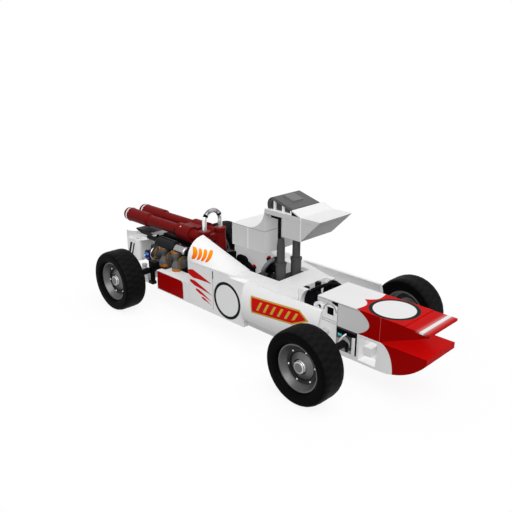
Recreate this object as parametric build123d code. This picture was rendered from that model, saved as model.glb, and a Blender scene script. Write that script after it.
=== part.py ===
from build123d import *
import os
from math import cos, radians, sin, sqrt

# Brick-built toy racing car with a raised cowl on two posts, in millimetres.
# +X is the nose, +Y the left side, +Z up; the origin is on the ground, midway between the axles.
# Names ending in _X, _Y, _Z are places; _R radii, _T thicknesses, _L lengths, _W widths.

os.makedirs("parts", exist_ok=True)

# Running gear
WHEELBASE = 192.0
TRACK = 112.0
TYRE_R = 23.6
TYRE_W = 18.0
TYRE_SHOULDER_R = 3.8
RIM_R = 15.4
RIM_INSET = 2.6         # lip behind the tyre's outer face
RIM_WALL_T = 1.7
RIM_LIP_T = 1.2
WEB_T = 2.2
WEB_DEPTH = 7.4         # from the tyre's outer face to the web
BOWL_R = 11.8           # where the dish meets the web
RING_R = 11.2           # raised ring on the web
RING_T = 1.8
RING_H = 0.8
CONE_R = 8.8            # cone round the hub cap
CONE_TOP_R = 5.0
CONE_H = 2.4
CAP_R = 4.0
CAP_EDGE = 0.8
CAP_INSET = 4.4         # hub cap behind the tyre's outer face
HUB_R = 4.6
HUB_SOCKET_L = 9.0
AXLE_R = 2.4
AXLE_END_Y = 4.0
RUN_FIT = 0.05          # radial, between an axle and its bore
SEAT_FIT = 0.05         # radial, between pressed round pieces

# Levels
FLOOR_Z = 13.2
FLOOR_T = 3.2
LOWER_H = 16.0          # lower bricks, above the floor
HOOD_H = 16.0           # hood bricks and their tile
TILE_T = 3.2

# Widths, from the centreline
BODY_Y = 16.0
SIDE_Y = 32.0
WALL_T = 4.0

# Lengths from the front axle to the nose and back to the deck
CARRIER_L = 16.0
BRACKET_L = 16.0
NOSE_L = 32.0
HOOD_LIP_L = 16.0       # hood tile ahead of the nose seam
BEAM_L = 16.0           # carrier to the hood's rear edge
BAY_L = 16.0            # open bay between the hood and the deck

# Lengths from the rear axle to the tail and forward to the side boxes
SIDE_BOX_GAP = 16.0
FRAME_TAIL_L = 32.0
REAR_COWL_L = 16.0
TAIL_L = 24.0           # pipes past the rear frame

# Stations of the cockpit
POST_X = 32.0
DASH_L = 12.0
PANEL_X = 20.0          # front end of the side walls
PANEL_SEAM_X = -12.0
TAPER_X = 5.0           # where the fairing starts to narrow
FAIRING_END_X = 10.0    # where its ridge has run out
FAIRING_X = -40.0

# Nose
LIP_DROP = 0.4
NOSE_TIP_T = 1.6
LOWER_TIP_T = 3.8
BRACKET_POCKET = 8.0
BRACKET_RIM = 1.6
BRACKET_STUD = 6.0

# Front carrier and hinge
BOSS_R = 4.4
BOSS_Y = 18.5
HINGE_SET = 5.7         # behind the carrier
HINGE_RISE = 8.0        # above the lower bricks
HINGE_R = 6.2
HINGE_HOLE = 5.6
BARREL_SET = 0.4        # ahead of the hood's rear edge
BARREL_R = 3.6
BARREL_HOLE_R = 1.3
ARCH_SET = 2.0          # behind the hood's rear edge
ARCH_RISE = 6.6
ARCH_R = 12.5
LINK_SHAFT_R = 2.4
LINK_DISC_R = 9.0
LINK_ARM_Y = 5.0
LINK_ARM_T = 3.2
LINK_CLIP_L = 3.0
LINK_CLIP_YS = (-10.2, 2.0)

# Fairings, side walls and pods
FAIRING_H = 15.5
RIDGE_END_H = 0.6
FAIRING_WALL_T = 3.0
SHOULDER_T = 2.0
POD_GAP = 1.0           # behind the pods
POD_TOP = (31.6, 47.4)      # (y, z) points of the outer skin
POD_BELLY = (36.0, 33.0)
POD_EDGE = (34.4, 21.0)
POD_FOOT = (29.0, 14.2)
POD_T = 2.2
POD_PIN_R = 2.4
POD_PIN_Z = 26.0
POD_PIN_GAP = 0.3
SIDE_BOX_H = 14.0
STRIP_H = 2.0
STRIP_W = 5.0
RED_PANEL_GAP = 7.0     # ahead of the red panel
RED_PANEL_T = 1.2
RED_PANEL_R = 3.0
RED_PANEL_EDGE = 0.6

# Cockpit
SEAT_Y = 12.0
SEAT_BASE_Z = 30.0
SEAT_FRONT_X = -10.0
SEAT_BACK_X = -38.0
SEAT_BACK_T = 4.0
SEAT_BACK_Z = 45.6
SEAT_CROWN = 1.6
SEAT_BOLSTER_T = 4.0
SEAT_BOLSTER_R = 11.0
CONSOLE_L = 24.0
CONSOLE_Y = 9.0
CONSOLE_Z = 40.0
WHEEL_RING_R = 7.4
WHEEL_RING_T = 2.8
WHEEL_TILT = 28.0
COLUMN_R = 1.7
COLUMN_L = 12.0
COLUMN_DROP = 1.8       # below the dash top
LEVER_R = 1.5
LEVER_TIP_R = 2.0

# Raised cowl on its posts
POST_Y = 8.0
POST_BASE_R = 3.7
POST_BASE_L = 13.0
POST_COLLAR_R = 4.2
POST_COLLAR_T = 1.4
POST_ROD_R = 2.8
POST_ROD_L = 11.6
POST_CONE_L = 6.0
POST_NECK_R = 2.2
COWL_GAP = 16.0         # deck to the underside of the rear block
COWL_STEP_H = 16.0
COWL_WALL_H = 16.0
COWL_H = 32.0
COWL_REAR_X = -8.0
COWL_SADDLE_X = 8.0
COWL_FACE_X = 24.0
COWL_WALL_X = 40.0
COWL_BREAK_X = 56.0
COWL_RIM_T = 3.2
COWL_WALL_T = 3.0
BRACKET_W = 1.6
BRACKET_DROP = 2.4      # below the rim
WEDGE_X = 48.0
WEDGE_H = 3.4
ROOF_X = (25.0, 46.8)
ROOF_Y = 13.4
ROOF_T = 2.0
ROOF_REAR_H = 8.4
ROOF_FRONT_H = 3.4
ROOF_ROUND_L = 4.0
HATCH_X = (31.0, 40.0)
HATCH_Y = 5.0
HATCH_T = 0.9
PILLAR_T = 1.5
PILLAR_W = 1.6
PILLAR_XS = (30.6, 38.2, 45.4)

# Engine, exhausts and hoop
ENGINE_TAIL_L = 8.0     # behind the rear axle
ENGINE_GAP = 5.0        # to the bulkhead
ENGINE_Y = 12.0
ENGINE_H = 12.6
VALLEY_Y = 6.0
VALLEY_H = 4.0
CYLINDER_SETS = (8.0, 24.0)   # ahead of the rear axle
CYLINDER_Y = 18.0
CYLINDER_R = 4.0
WAIST_R = 1.9
CYL_RING_T = 2.4
DISC_R = 5.0
DISC_T = 2.0
HEAD_R = 6.0
HEAD_OVERHANG = 7.0     # behind the first cylinder
HEAD_SHIFT = 1.0        # inward of the cylinders
HEAD_CAP_L = 14.0
HEAD_CAP_R = 5.0
HEAD_EDGE_R = 2.0
FEED_L = 15.0           # feed pipes behind the heads
FEED_R = 1.9
PIPE_Y = 8.0
PIPE_R = 4.5
TAIL_PIPE_R = 5.75
TAIL_PIPE_L = 32.0
TAIL_ROUND_R = 3.0
PIPE_RING_SET = 5.0
PIPE_RING_L = 1.4
PIPE_RING_T = 0.35
MANIFOLD_L = 17.0
MANIFOLD_SET = 4.0      # behind the engine's front face
MANIFOLD_GAP = 0.3
SLEEVE_R = 6.2          # round each pipe
BRIDGE_H = 8.8
HEADER_R = 4.4
HEADER_END_R = 2.8
HEADER_GAP = 0.3
HOOP_SET = 10.0         # behind the seat back
HOOP_Y = 8.0
HOOP_BAR_R = 1.75
CUP_H = 18.2
HOOP_LEG_L = 7.0
CUP_FOOT_R = 5.0
CUP_WAIST_R = 4.2
CUP_LIP_R = 4.7
CUP_LIP_T = 2.0
CUP_LINK_H = 5.0

# Rear frame, uprights and tail
FRAME_Y = 12.0
FRAME_WALL_T = 4.0
SPINE_L = 10.0          # narrow rear end of the frame
SPINE_Y = 3.0
UPRIGHT_Y = (27.0, 31.0)
DAMPER_SET = 4.8        # behind the axle
DAMPER_R = 2.3
DAMPER_ROD_R = 1.5
DAMPER_RIBS = 5
STRUT_SET = 6.0         # ahead of the axle
STRUT_R = 2.0
STRUT_H = 12.0
STRUT_CAP_H = 5.6
STRUT_CAP_L = 9.0
FOOT_T = 2.4
LINK_BAR = 4.0
LENS_SET = 14.5         # ahead of the frame's end
LENS_Y = 16.4
LENS_DROP = 2.8
LENS_R = 3.6
LENS_SEAT_T = 2.0
REAR_COWL_RISE = 4.0    # above the floor
REAR_COWL_H = 18.4
REAR_COWL_R = 4.0
REAR_LIP_H = 6.8        # above the tail box, at its sides
REAR_LIP_DIP = 4.0
REAR_LIP_T = 1.6
REAR_COWL_WALL_T = 3.0
FIN_Y = 10.0
FIN_RISE = 5.0          # underside above the tail box
FIN_T = 3.4
FIN_TAIL_L = 10.0       # behind the frame's end
FIN_TIP_L = 8.0
FIN_TIP_T = 1.0
FIN_GAP = 2.0           # to the engine
FIN_STEM_Y = 3.0
BAR_Y = 12.0
BAR_R = 1.7
BAR_END_RISE = 2.6      # above the engine block

# Display-stand sockets under the floor
SOCKET_SET = 2.0        # behind the engine's front face
SOCKET_R = 2.45
SOCKET_BOSS_R = 4.0
SOCKET_GAP = 0.3
SOCKET_L = 8.0

# Places that follow from the sizes above
AXLE_Z = TYRE_R
FRONT_X = WHEELBASE / 2
REAR_X = -WHEELBASE / 2
WHEEL_Y = TRACK / 2
BORE_R = AXLE_R + RUN_FIT

CARRIER_X = (FRONT_X - CARRIER_L / 2, FRONT_X + CARRIER_L / 2)
SEAM_X = CARRIER_X[1] + BRACKET_L
LIP_X = SEAM_X + HOOD_LIP_L
NOSE_X = SEAM_X + NOSE_L
HOOD_X = CARRIER_X[0] - BEAM_L
DECK_X = HOOD_X - BAY_L
HINGE_X = CARRIER_X[0] - HINGE_SET
BARREL_X = HOOD_X + BARREL_SET
ARCH_X = HOOD_X - ARCH_SET
POD_X = (PANEL_X + POD_GAP, CARRIER_X[0])
DASH_X = (POST_X - DASH_L / 2, POST_X + DASH_L / 2)

SIDE_BOX_X = REAR_X + SIDE_BOX_GAP
FRAME_X = REAR_X - FRAME_TAIL_L
TAIL_X = FRAME_X - TAIL_L
LENS_X = FRAME_X + LENS_SET
PIPE_RING_X = TAIL_X + PIPE_RING_SET
HOOP_X = SEAT_BACK_X - HOOP_SET
ENGINE_X = (REAR_X - ENGINE_TAIL_L, HOOP_X - CUP_FOOT_R - ENGINE_GAP)
FIN_X = (FRAME_X - FIN_TAIL_L, ENGINE_X[0] - FIN_GAP)
MANIFOLD_X = (ENGINE_X[1] - MANIFOLD_SET - MANIFOLD_L, ENGINE_X[1] - MANIFOLD_SET)
CYLINDER_XS = [REAR_X + ahead for ahead in CYLINDER_SETS]
HEAD_SPLIT_X = CYLINDER_XS[1]
SOCKET_XS = (ENGINE_X[1] - SOCKET_SET, HOOD_X - BAY_L / 2)

FLOOR_TOP = FLOOR_Z + FLOOR_T
LOWER_Z = FLOOR_TOP + LOWER_H
DECK_Z = LOWER_Z + HOOD_H
TILE_Z = DECK_Z - TILE_T
WALL_Z = DECK_Z - SHOULDER_T
HINGE_Z = LOWER_Z + HINGE_RISE
ARCH_Z = LOWER_Z + ARCH_RISE
COLUMN_Z = TILE_Z - COLUMN_DROP
SIDE_BOX_Z = FLOOR_Z + SIDE_BOX_H
COWL_BASE_Z = DECK_Z + COWL_GAP
COWL_STEP_Z = COWL_BASE_Z + COWL_STEP_H
COWL_WALL_Z = COWL_BASE_Z + COWL_WALL_H
COWL_TOP_Z = COWL_BASE_Z + COWL_H
RIM_Z = COWL_TOP_Z - COWL_RIM_T
POST_TOP = TILE_Z + POST_BASE_L + POST_ROD_L + POST_CONE_L
ENGINE_Z = LOWER_Z + ENGINE_H
HEAD_TOP = ENGINE_Z + HEAD_R
MANIFOLD_Z = HEAD_TOP + MANIFOLD_GAP
PIPE_Z = MANIFOLD_Z + SLEEVE_R
HOOP_BASE_Z = TILE_Z + CUP_H
LENS_Z = LOWER_Z - LENS_DROP
REAR_COWL_Z = FLOOR_TOP + REAR_COWL_RISE


def block(xs, ys, zs):
    """Rectangular block from its (low, high) pairs along X, Y and Z."""
    spans = (xs, ys, zs)
    size = [high - low for low, high in spans]
    middle = [(high + low) / 2 for low, high in spans]
    return Pos(*middle) * Box(*size)


def face(*edges):
    """Flat face inside edges laid end to end."""
    return make_face(Curve() + list(edges))


def polygon(*points):
    """Flat face inside straight sides."""
    return make_face(Polyline(*points, close=True))


def across(profile, ys):
    """Side-view profile (x, z) carried across the car between two y places."""
    low, high = ys
    return extrude(Plane.XZ.offset(-high) * profile, amount=high - low)


def along(profile, xs):
    """End-view profile (y, z) carried along the car between two x places."""
    low, high = xs
    return extrude(Plane.YZ.offset(low) * profile, amount=high - low)


def upward(profile, zs):
    """Plan-view profile (x, y) raised between two levels."""
    low, high = zs
    return extrude(Plane.XY.offset(low) * profile, amount=high - low)


def rod_y(x, z, radius, ys):
    """Round bar across the car."""
    low, high = ys
    return Pos(x, (low + high) / 2, z) * Rot(90, 0, 0) * Cylinder(radius, high - low)


def rod_x(y, z, radius, xs):
    """Round bar along the car."""
    low, high = xs
    return Pos((low + high) / 2, y, z) * Rot(0, 90, 0) * Cylinder(radius, high - low)


def post(x, y, radius, zs):
    """Upright round bar."""
    low, high = zs
    return Pos(x, y, (low + high) / 2) * Cylinder(radius, high - low)


def turned(x, y, points):
    """Solid turned about an upright line from (radius, z) points, closed along that line."""
    low, high = points[0][1], points[-1][1]
    profile = polygon((0, low), *points, (0, high))
    return Pos(x, y, 0) * revolve(Plane.XZ * profile, axis=Axis.Z)


def pair(left):
    """A left-hand piece and its mirror image on the right."""
    return left + mirror(left, about=Plane.XZ)


def save(node, shape):
    """Write one named piece."""
    export_step(shape, f"parts/{node}.step")


# Wheels

def tyre():
    """Ring with rounded shoulders, centred on its own axis along Y."""
    half = TYRE_W / 2
    section = Pos(0, (RIM_R + TYRE_R) / 2) * Rectangle(TYRE_W, TYRE_R - RIM_R)
    tread_corners = section.vertices().sort_by(Axis.Y)[-2:]
    section = fillet(tread_corners, min(TYRE_SHOULDER_R, half / 1.5))
    return revolve(Plane.YZ * section, axis=Axis.Y)


def rim():
    """Deep-dished rim with its outer face towards +Y: barrel, dish, ringed web, cone and hub cap."""
    half = TYRE_W / 2
    lip = half - RIM_INSET
    web = half - WEB_DEPTH
    cap = half - CAP_INSET
    barrel_r = RIM_R - SEAT_FIT
    inner_r = barrel_r - RIM_WALL_T
    profile = polygon(
        (-half, 0), (-half, HUB_R), (web - WEB_T, HUB_R), (web - WEB_T, inner_r), (-lip, inner_r),
        (-lip, barrel_r), (lip, barrel_r), (lip, barrel_r - RIM_LIP_T), (web, BOWL_R),
        (web, RING_R), (web + RING_H, RING_R), (web + RING_H, RING_R - RING_T), (web, RING_R - RING_T),
        (web, CONE_R), (web + CONE_H, CONE_TOP_R), (web, CONE_TOP_R), (web, CAP_R),
        (cap - CAP_EDGE, CAP_R), (cap, CAP_R - CAP_EDGE), (cap, 0))
    wheel = revolve(Plane.YZ * profile, axis=Axis.Y)
    return wheel - rod_y(0, 0, AXLE_R + SEAT_FIT, (-half, HUB_SOCKET_L - half))


def stub_axle():
    """Axle from the hub's socket to its inner end, in the wheel's own frame."""
    half = TYRE_W / 2
    return rod_y(0, 0, AXLE_R, (AXLE_END_Y - WHEEL_Y, HUB_SOCKET_L - half))


WHEELS = (  # corner, axle x
    ("front", FRONT_X),
    ("rear", REAR_X),
)
WHEEL_PIECES = (("tyre", tyre()), ("rim", rim()), ("axle", stub_axle()))
for corner, axle_x in WHEELS:
    for piece, shape in WHEEL_PIECES:
        left = Pos(axle_x, WHEEL_Y, AXLE_Z) * shape
        save(f"{piece}_{corner}_left", left)
        save(f"{piece}_{corner}_right", mirror(left, about=Plane.XZ))


# Chassis

def floor_plate():
    """Stepped floor with a tube socket under each end for a display stand."""
    plan = (  # x low, x high, half width
        (FRAME_X + REAR_COWL_L, FAIRING_X, BODY_Y),
        (FAIRING_X, PANEL_X, SIDE_Y),
        (PANEL_X, CARRIER_X[1], BODY_Y),
    )
    plate = Part()
    for low, high, half in plan:
        plate += block((low, high), (-half, half), (FLOOR_Z, FLOOR_TOP))
    for x in SOCKET_XS:
        plate += post(x, 0, SOCKET_BOSS_R, (FLOOR_Z, FLOOR_Z + SOCKET_L))
        plate -= post(x, 0, SOCKET_R, (FLOOR_Z, FLOOR_Z + SOCKET_L))
    return plate


def tub_walls():
    """Side walls under the deck and hood, with a round arch cut at the linkage bay."""
    ys = (BODY_Y - WALL_T, BODY_Y)
    wall = block((DASH_X[1], HOOD_X), ys, (FLOOR_TOP, TILE_Z))
    wall += block((DECK_X, HOOD_X), ys, (FLOOR_TOP, DECK_Z))
    wall += block((HOOD_X, CARRIER_X[0]), ys, (FLOOR_TOP, LOWER_Z))
    wall -= rod_y(ARCH_X, ARCH_Z, ARCH_R, (0, SIDE_Y)) & block(
        (DECK_X, SEAM_X), (0, SIDE_Y), (LOWER_Z, COWL_TOP_Z))
    wall -= block((ARCH_X, SEAM_X), ys, (LOWER_Z, COWL_TOP_Z))
    return pair(wall)


def dash_block():
    """Bulkhead under the posts with the low console behind it."""
    dash = block(DASH_X, (-BODY_Y, BODY_Y), (FLOOR_TOP, TILE_Z))
    console = block((DASH_X[0] - CONSOLE_L, DASH_X[0]), (-CONSOLE_Y, CONSOLE_Y), (FLOOR_TOP, CONSOLE_Z))
    return dash + console


def front_carrier():
    """Block that carries the front axles, with a boss on each side."""
    carrier = block(CARRIER_X, (-BODY_Y, BODY_Y), (FLOOR_TOP, LOWER_Z))
    slot = block((CARRIER_X[0] + WALL_T, CARRIER_X[1] - WALL_T / 2), (BODY_Y - WALL_T / 2, BODY_Y),
                 (FLOOR_TOP + WALL_T / 2, LOWER_Z - WALL_T / 2))
    carrier -= pair(slot)
    carrier += rod_y(FRONT_X, AXLE_Z, BOSS_R, (-BOSS_Y, BOSS_Y))
    return carrier - rod_y(FRONT_X, AXLE_Z, BORE_R, (-BOSS_Y, BOSS_Y))


save("floor_plate", floor_plate())
save("tub_walls", tub_walls())
save("dash_block", dash_block())
save("front_carrier", front_carrier())
save("deck_tile", block((DASH_X[1], DECK_X), (-BODY_Y, BODY_Y), (TILE_Z, DECK_Z)))


# Hood and nose

def hood_block():
    """Hollow hood bricks, open towards the linkage bay."""
    outer = block((CARRIER_X[0], SEAM_X), (-BODY_Y, BODY_Y), (LOWER_Z, TILE_Z))
    inner_y = BODY_Y - WALL_T
    return outer - block((CARRIER_X[0], SEAM_X - WALL_T), (-inner_y, inner_y), (LOWER_Z, TILE_Z - WALL_T / 2))


def nose_wedge():
    """Upper nose: its underside rises to a thin lip, which lies a little below the hood tile."""
    lip_z = DECK_Z - LIP_DROP
    profile = polygon((SEAM_X, LOWER_Z), (NOSE_X, lip_z - NOSE_TIP_T), (NOSE_X, lip_z),
                      (LIP_X, lip_z), (LIP_X, TILE_Z), (SEAM_X, TILE_Z))
    return across(profile, (-BODY_Y, BODY_Y))


def nose_lower():
    """Lower nose: flat top, thin front edge and an underside that sweeps up in one arc."""
    tip = (NOSE_X, LOWER_Z - LOWER_TIP_T)
    heel = (SEAM_X, FLOOR_Z)
    run = tip[0] - heel[0]
    rise = tip[1] - heel[1]
    sweep_r = (run * run + rise * rise) / (2 * rise)
    middle = (heel[0] + run / 2, heel[1] + sweep_r - sqrt(sweep_r * sweep_r - run * run / 4))
    profile = face(ThreePointArc(heel, middle, tip), Line(tip, (NOSE_X, LOWER_Z)),
                   Line((NOSE_X, LOWER_Z), (SEAM_X, LOWER_Z)), Line((SEAM_X, LOWER_Z), heel))
    return across(profile, (-BODY_Y, BODY_Y))


def nose_bracket():
    """Bracket brick behind the lower nose, with a framed pocket and a square stud on each side."""
    xs = (CARRIER_X[1], SEAM_X)
    brick = block(xs, (-BODY_Y, BODY_Y), (FLOOR_Z, LOWER_Z))
    ys = (BODY_Y - BRACKET_POCKET, BODY_Y)
    pocket = block((xs[0] + BRACKET_RIM, xs[1] - BRACKET_RIM), ys,
                   (FLOOR_Z + BRACKET_RIM, LOWER_Z - BRACKET_RIM))
    stud_x = (xs[0] + xs[1]) / 2
    stud_z = (FLOOR_Z + LOWER_Z) / 2
    half = BRACKET_STUD / 2
    stud = block((stud_x - half, stud_x + half), ys, (stud_z - half, stud_z + half))
    return brick - pair(pocket) + pair(stud)


def hinge_beams():
    """Rounded beam ends with square holes and a barrel, standing on the tub walls under the hood tile."""
    ys = (BODY_Y - WALL_T, BODY_Y)
    beam = block((HINGE_X - HINGE_R, CARRIER_X[0]), ys, (LOWER_Z, HINGE_Z))
    beam += rod_y(HINGE_X, HINGE_Z, HINGE_R, ys) & block((HOOD_X, CARRIER_X[0]), ys, (LOWER_Z, TILE_Z))
    half = HINGE_HOLE / 2
    beam -= block((HINGE_X - half, HINGE_X + half), ys, (HINGE_Z - half, HINGE_Z + half))
    beam += rod_y(BARREL_X, HINGE_Z, BARREL_R, ys)
    beam += block((BARREL_X, HINGE_X - HINGE_R), ys, (LOWER_Z, HINGE_Z))
    return pair(beam - rod_y(BARREL_X, HINGE_Z, BARREL_HOLE_R, ys))


def linkage():
    """Dark shaft across the bay with two discs, the arms that hold the hood tile and clips on the deck."""
    inner_y = BODY_Y - WALL_T
    shaft = rod_y(ARCH_X - LINK_DISC_R / 2, ARCH_Z, LINK_SHAFT_R, (-inner_y, inner_y))
    disc = rod_y(ARCH_X - LINK_DISC_R / 2, ARCH_Z, LINK_DISC_R, (inner_y - LINK_ARM_T, inner_y))
    arm = block((ARCH_X - LINK_DISC_R / 2, CARRIER_X[0]),
                (LINK_ARM_Y, LINK_ARM_Y + LINK_ARM_T), (ARCH_Z, TILE_Z))
    links = shaft + pair(disc + arm)
    half = LINK_ARM_T / 2
    for y in LINK_CLIP_YS:
        links += block((DECK_X, DECK_X + LINK_CLIP_L), (y - half, y + half), (ARCH_Z - half, DECK_Z))
        links += block((DECK_X, ARCH_X), (y - half, y + half), (ARCH_Z - half, ARCH_Z + half))
    return links


save("hood_tile", block((HOOD_X, LIP_X), (-BODY_Y, BODY_Y), (TILE_Z, DECK_Z)))
save("hood_block", hood_block())
save("nose_wedge", nose_wedge())
save("nose_lower", nose_lower())
save("nose_bracket", nose_bracket())
save("hinge_beams", hinge_beams())
save("linkage", linkage())


# Sides

def side_walls():
    """Flat outer panels, two a side."""
    panels = Part()
    for low, high in ((FAIRING_X, PANEL_SEAM_X), (PANEL_SEAM_X + SEAT_FIT, PANEL_X)):
        panels += block((low, high), (SIDE_Y - WALL_T, SIDE_Y), (FLOOR_TOP, WALL_Z))
    return pair(panels)


def fairing_y(x):
    """Outer edge of the fairing's plan at x, ahead of where it starts to narrow."""
    return SIDE_Y - (SIDE_Y - BODY_Y) * (x - TAPER_X) / (DECK_X - TAPER_X)


def ridge(x, outer, height):
    """End view of the rounded fairing top at x: upright inner edge, level base, arc between them."""
    rise = height * sin(radians(45))
    run = (outer - BODY_Y) * cos(radians(45))
    base = (BODY_Y, DECK_Z)
    section = face(Line((outer, DECK_Z), base), Line(base, (BODY_Y, DECK_Z + height)),
                   ThreePointArc((BODY_Y, DECK_Z + height), (BODY_Y + run, DECK_Z + rise), (outer, DECK_Z)))
    return Plane.YZ.offset(x) * section


def fairings():
    """Cockpit sides: hollow box, tapering shoulder and a rounded fin that runs out forward."""
    inner = SIDE_Y - WALL_T
    box = block((FAIRING_X, PANEL_X), (BODY_Y, inner), (FLOOR_TOP, WALL_Z))
    box -= block((FAIRING_X + FAIRING_WALL_T, PANEL_X - FAIRING_WALL_T),
                 (BODY_Y + FAIRING_WALL_T, inner), (FLOOR_TOP, WALL_Z - FAIRING_WALL_T))
    shoulder = upward(polygon((FAIRING_X, BODY_Y), (FAIRING_X, SIDE_Y), (TAPER_X, SIDE_Y), (DECK_X, BODY_Y)),
                      (WALL_Z, DECK_Z))
    prow = upward(polygon((PANEL_X, BODY_Y), (PANEL_X, min(fairing_y(PANEL_X), inner)), (DECK_X, BODY_Y)),
                  (LOWER_Z, WALL_Z))
    fin = loft([ridge(FAIRING_X, SIDE_Y, FAIRING_H),
                ridge(FAIRING_END_X, fairing_y(FAIRING_END_X), RIDGE_END_H)], ruled=True)
    return pair(box + shoulder + prow + fin)


def pods():
    """Curved outer panels, open behind: an arc for the side and a flat undercut foot."""
    def skin(inset):
        points = [(y - inset, z) for y, z in (POD_TOP, POD_BELLY, POD_EDGE, POD_FOOT)]
        return [ThreePointArc(*points[:3]), Line(*points[2:])], points
    outer, outer_points = skin(0)
    inner, inner_points = skin(POD_T)
    ends = [Line(outer_points[3], inner_points[3]), Line(inner_points[0], outer_points[0])]
    return pair(along(face(*outer, *inner, *ends), POD_X))


def pod_pins():
    """Pins that carry each pod from the dash and the tub wall, ending just short of its inner skin."""
    skin = ThreePointArc(POD_TOP, POD_BELLY, POD_EDGE)
    drop = POD_PIN_Z - POD_PIN_R - skin.arc_center.Y
    reach = skin.arc_center.X + sqrt(skin.radius**2 - drop**2) - POD_T - POD_PIN_GAP
    pins = Part()
    for x in (POST_X, (HOOD_X + CARRIER_X[0]) / 2):
        pins += rod_y(x, POD_PIN_Z, POD_PIN_R, (BODY_Y, reach))
    return pair(pins)


def red_panel_xs():
    """Ends of the red panel on the side box."""
    return (SIDE_BOX_X + RED_PANEL_EDGE, FAIRING_X - RED_PANEL_GAP)


def side_panels():
    """Red panel let into the outer face of each side box, with its front upper corner rounded."""
    low, high = red_panel_xs()
    panel = block((low, high), (SIDE_Y - RED_PANEL_T, SIDE_Y),
                  (FLOOR_Z + RED_PANEL_EDGE, SIDE_BOX_Z + STRIP_H - RED_PANEL_EDGE))
    corner = panel.edges().filter_by(Axis.Y).group_by(Axis.X)[-1].sort_by(Axis.Z)[-1]
    return fillet(corner, RED_PANEL_R)


def side_boxes():
    """Low boxes beside the engine, each with a raised strip along its outer edge."""
    box = block((SIDE_BOX_X, FAIRING_X), (BODY_Y, SIDE_Y), (FLOOR_Z, SIDE_BOX_Z))
    box += block((SIDE_BOX_X, FAIRING_X), (SIDE_Y - STRIP_W, SIDE_Y), (SIDE_BOX_Z, SIDE_BOX_Z + STRIP_H))
    box -= block((SIDE_BOX_X + WALL_T, FAIRING_X - WALL_T), (BODY_Y + WALL_T, SIDE_Y - WALL_T),
                 (FLOOR_Z, SIDE_BOX_Z - WALL_T))
    return pair(box - side_panels())


save("side_walls", side_walls())
save("fairings", fairings())
save("pods", pods())
save("pod_pins", pod_pins())
save("side_boxes", side_boxes())
save("side_panels", pair(side_panels()))


# Cockpit

def seat():
    """Bucket seat: base, rounded side bolsters, low crowned back and the bulkhead behind it."""
    back_xs = (SEAT_BACK_X, SEAT_BACK_X + SEAT_BACK_T)
    base = block((back_xs[1], SEAT_FRONT_X), (-SEAT_Y, SEAT_Y), (FLOOR_TOP, SEAT_BASE_Z))
    corner = (SEAT_Y, SEAT_BACK_Z)
    back = along(face(Line((-SEAT_Y, FLOOR_TOP), (SEAT_Y, FLOOR_TOP)), Line((SEAT_Y, FLOOR_TOP), corner),
                      ThreePointArc(corner, (0, SEAT_BACK_Z + SEAT_CROWN), (-SEAT_Y, SEAT_BACK_Z)),
                      Line((-SEAT_Y, SEAT_BACK_Z), (-SEAT_Y, FLOOR_TOP))), back_xs)
    arch_x = back_xs[1] + SEAT_BOLSTER_R
    ys = (SEAT_Y - SEAT_BOLSTER_T, SEAT_Y)
    bolster = rod_y(arch_x, SEAT_BASE_Z, SEAT_BOLSTER_R, ys)
    bolster &= block((back_xs[1], SEAT_FRONT_X), ys, (SEAT_BASE_Z, DECK_Z))
    bulkhead = block((HOOP_X - CUP_FOOT_R, SEAT_BACK_X), (-SEAT_Y, SEAT_Y), (FLOOR_TOP, TILE_Z))
    return base + back + pair(bolster) + bulkhead


def column_frame():
    """Place and tilt of the steering column, with its own Z towards the driver."""
    return Pos(DASH_X[0], 0, COLUMN_Z) * Rot(0, WHEEL_TILT - 90, 0)


def steering_column():
    """Column and hub, running from the dash face into the middle of the steering wheel."""
    start = WHEEL_RING_T * 2
    shaft = Pos(0, 0, (COLUMN_L - start) / 2) * Cylinder(COLUMN_R, COLUMN_L + start)
    hub = Pos(0, 0, COLUMN_L) * Cylinder(WHEEL_RING_R - WHEEL_RING_T / 2 - SEAT_FIT, WHEEL_RING_T / 2)
    dash = block(DASH_X, (-BODY_Y, BODY_Y), (FLOOR_TOP, TILE_Z))
    return column_frame() * (shaft + hub) - dash


def steering_ring():
    """Thick grey steering wheel rim around the hub."""
    section = Pos(WHEEL_RING_R, COLUMN_L) * RectangleRounded(WHEEL_RING_T, WHEEL_RING_T, WHEEL_RING_T / 2.5)
    return column_frame() * revolve(Plane.XZ * section, axis=Axis.Z)


LEVERS = (  # x, y, height of the tip
    (8.0, 5.5, 53.6),
    (4.0, -6.5, 49.0),
)


def levers():
    """Short control levers with ball-like tips, standing on the console."""
    sticks = Part()
    for x, y, tip_z in LEVERS:
        sticks += turned(x, y, ((LEVER_R, CONSOLE_Z), (LEVER_R, tip_z - 2 * LEVER_TIP_R),
                                (LEVER_TIP_R, tip_z - LEVER_TIP_R), (LEVER_TIP_R / 2, tip_z)))
    return sticks


save("seat", seat())
save("steering_column", steering_column())
save("steering_ring", steering_ring())
save("levers", levers())


# Raised cowl

def post_bases():
    """Thick lower tubes of the posts, each ending in a collar."""
    top = TILE_Z + POST_BASE_L
    return pair(turned(POST_X, POST_Y, (
        (POST_BASE_R, TILE_Z), (POST_BASE_R, top - POST_COLLAR_T),
        (POST_COLLAR_R, top - POST_COLLAR_T), (POST_COLLAR_R, top))))


def post_rods():
    """Slimmer rods that narrow to a neck at the top."""
    low = TILE_Z + POST_BASE_L
    shoulder = low + POST_ROD_L
    return pair(turned(POST_X, POST_Y, (
        (POST_ROD_R, low), (POST_ROD_R, shoulder), (POST_NECK_R, POST_TOP))))


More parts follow.
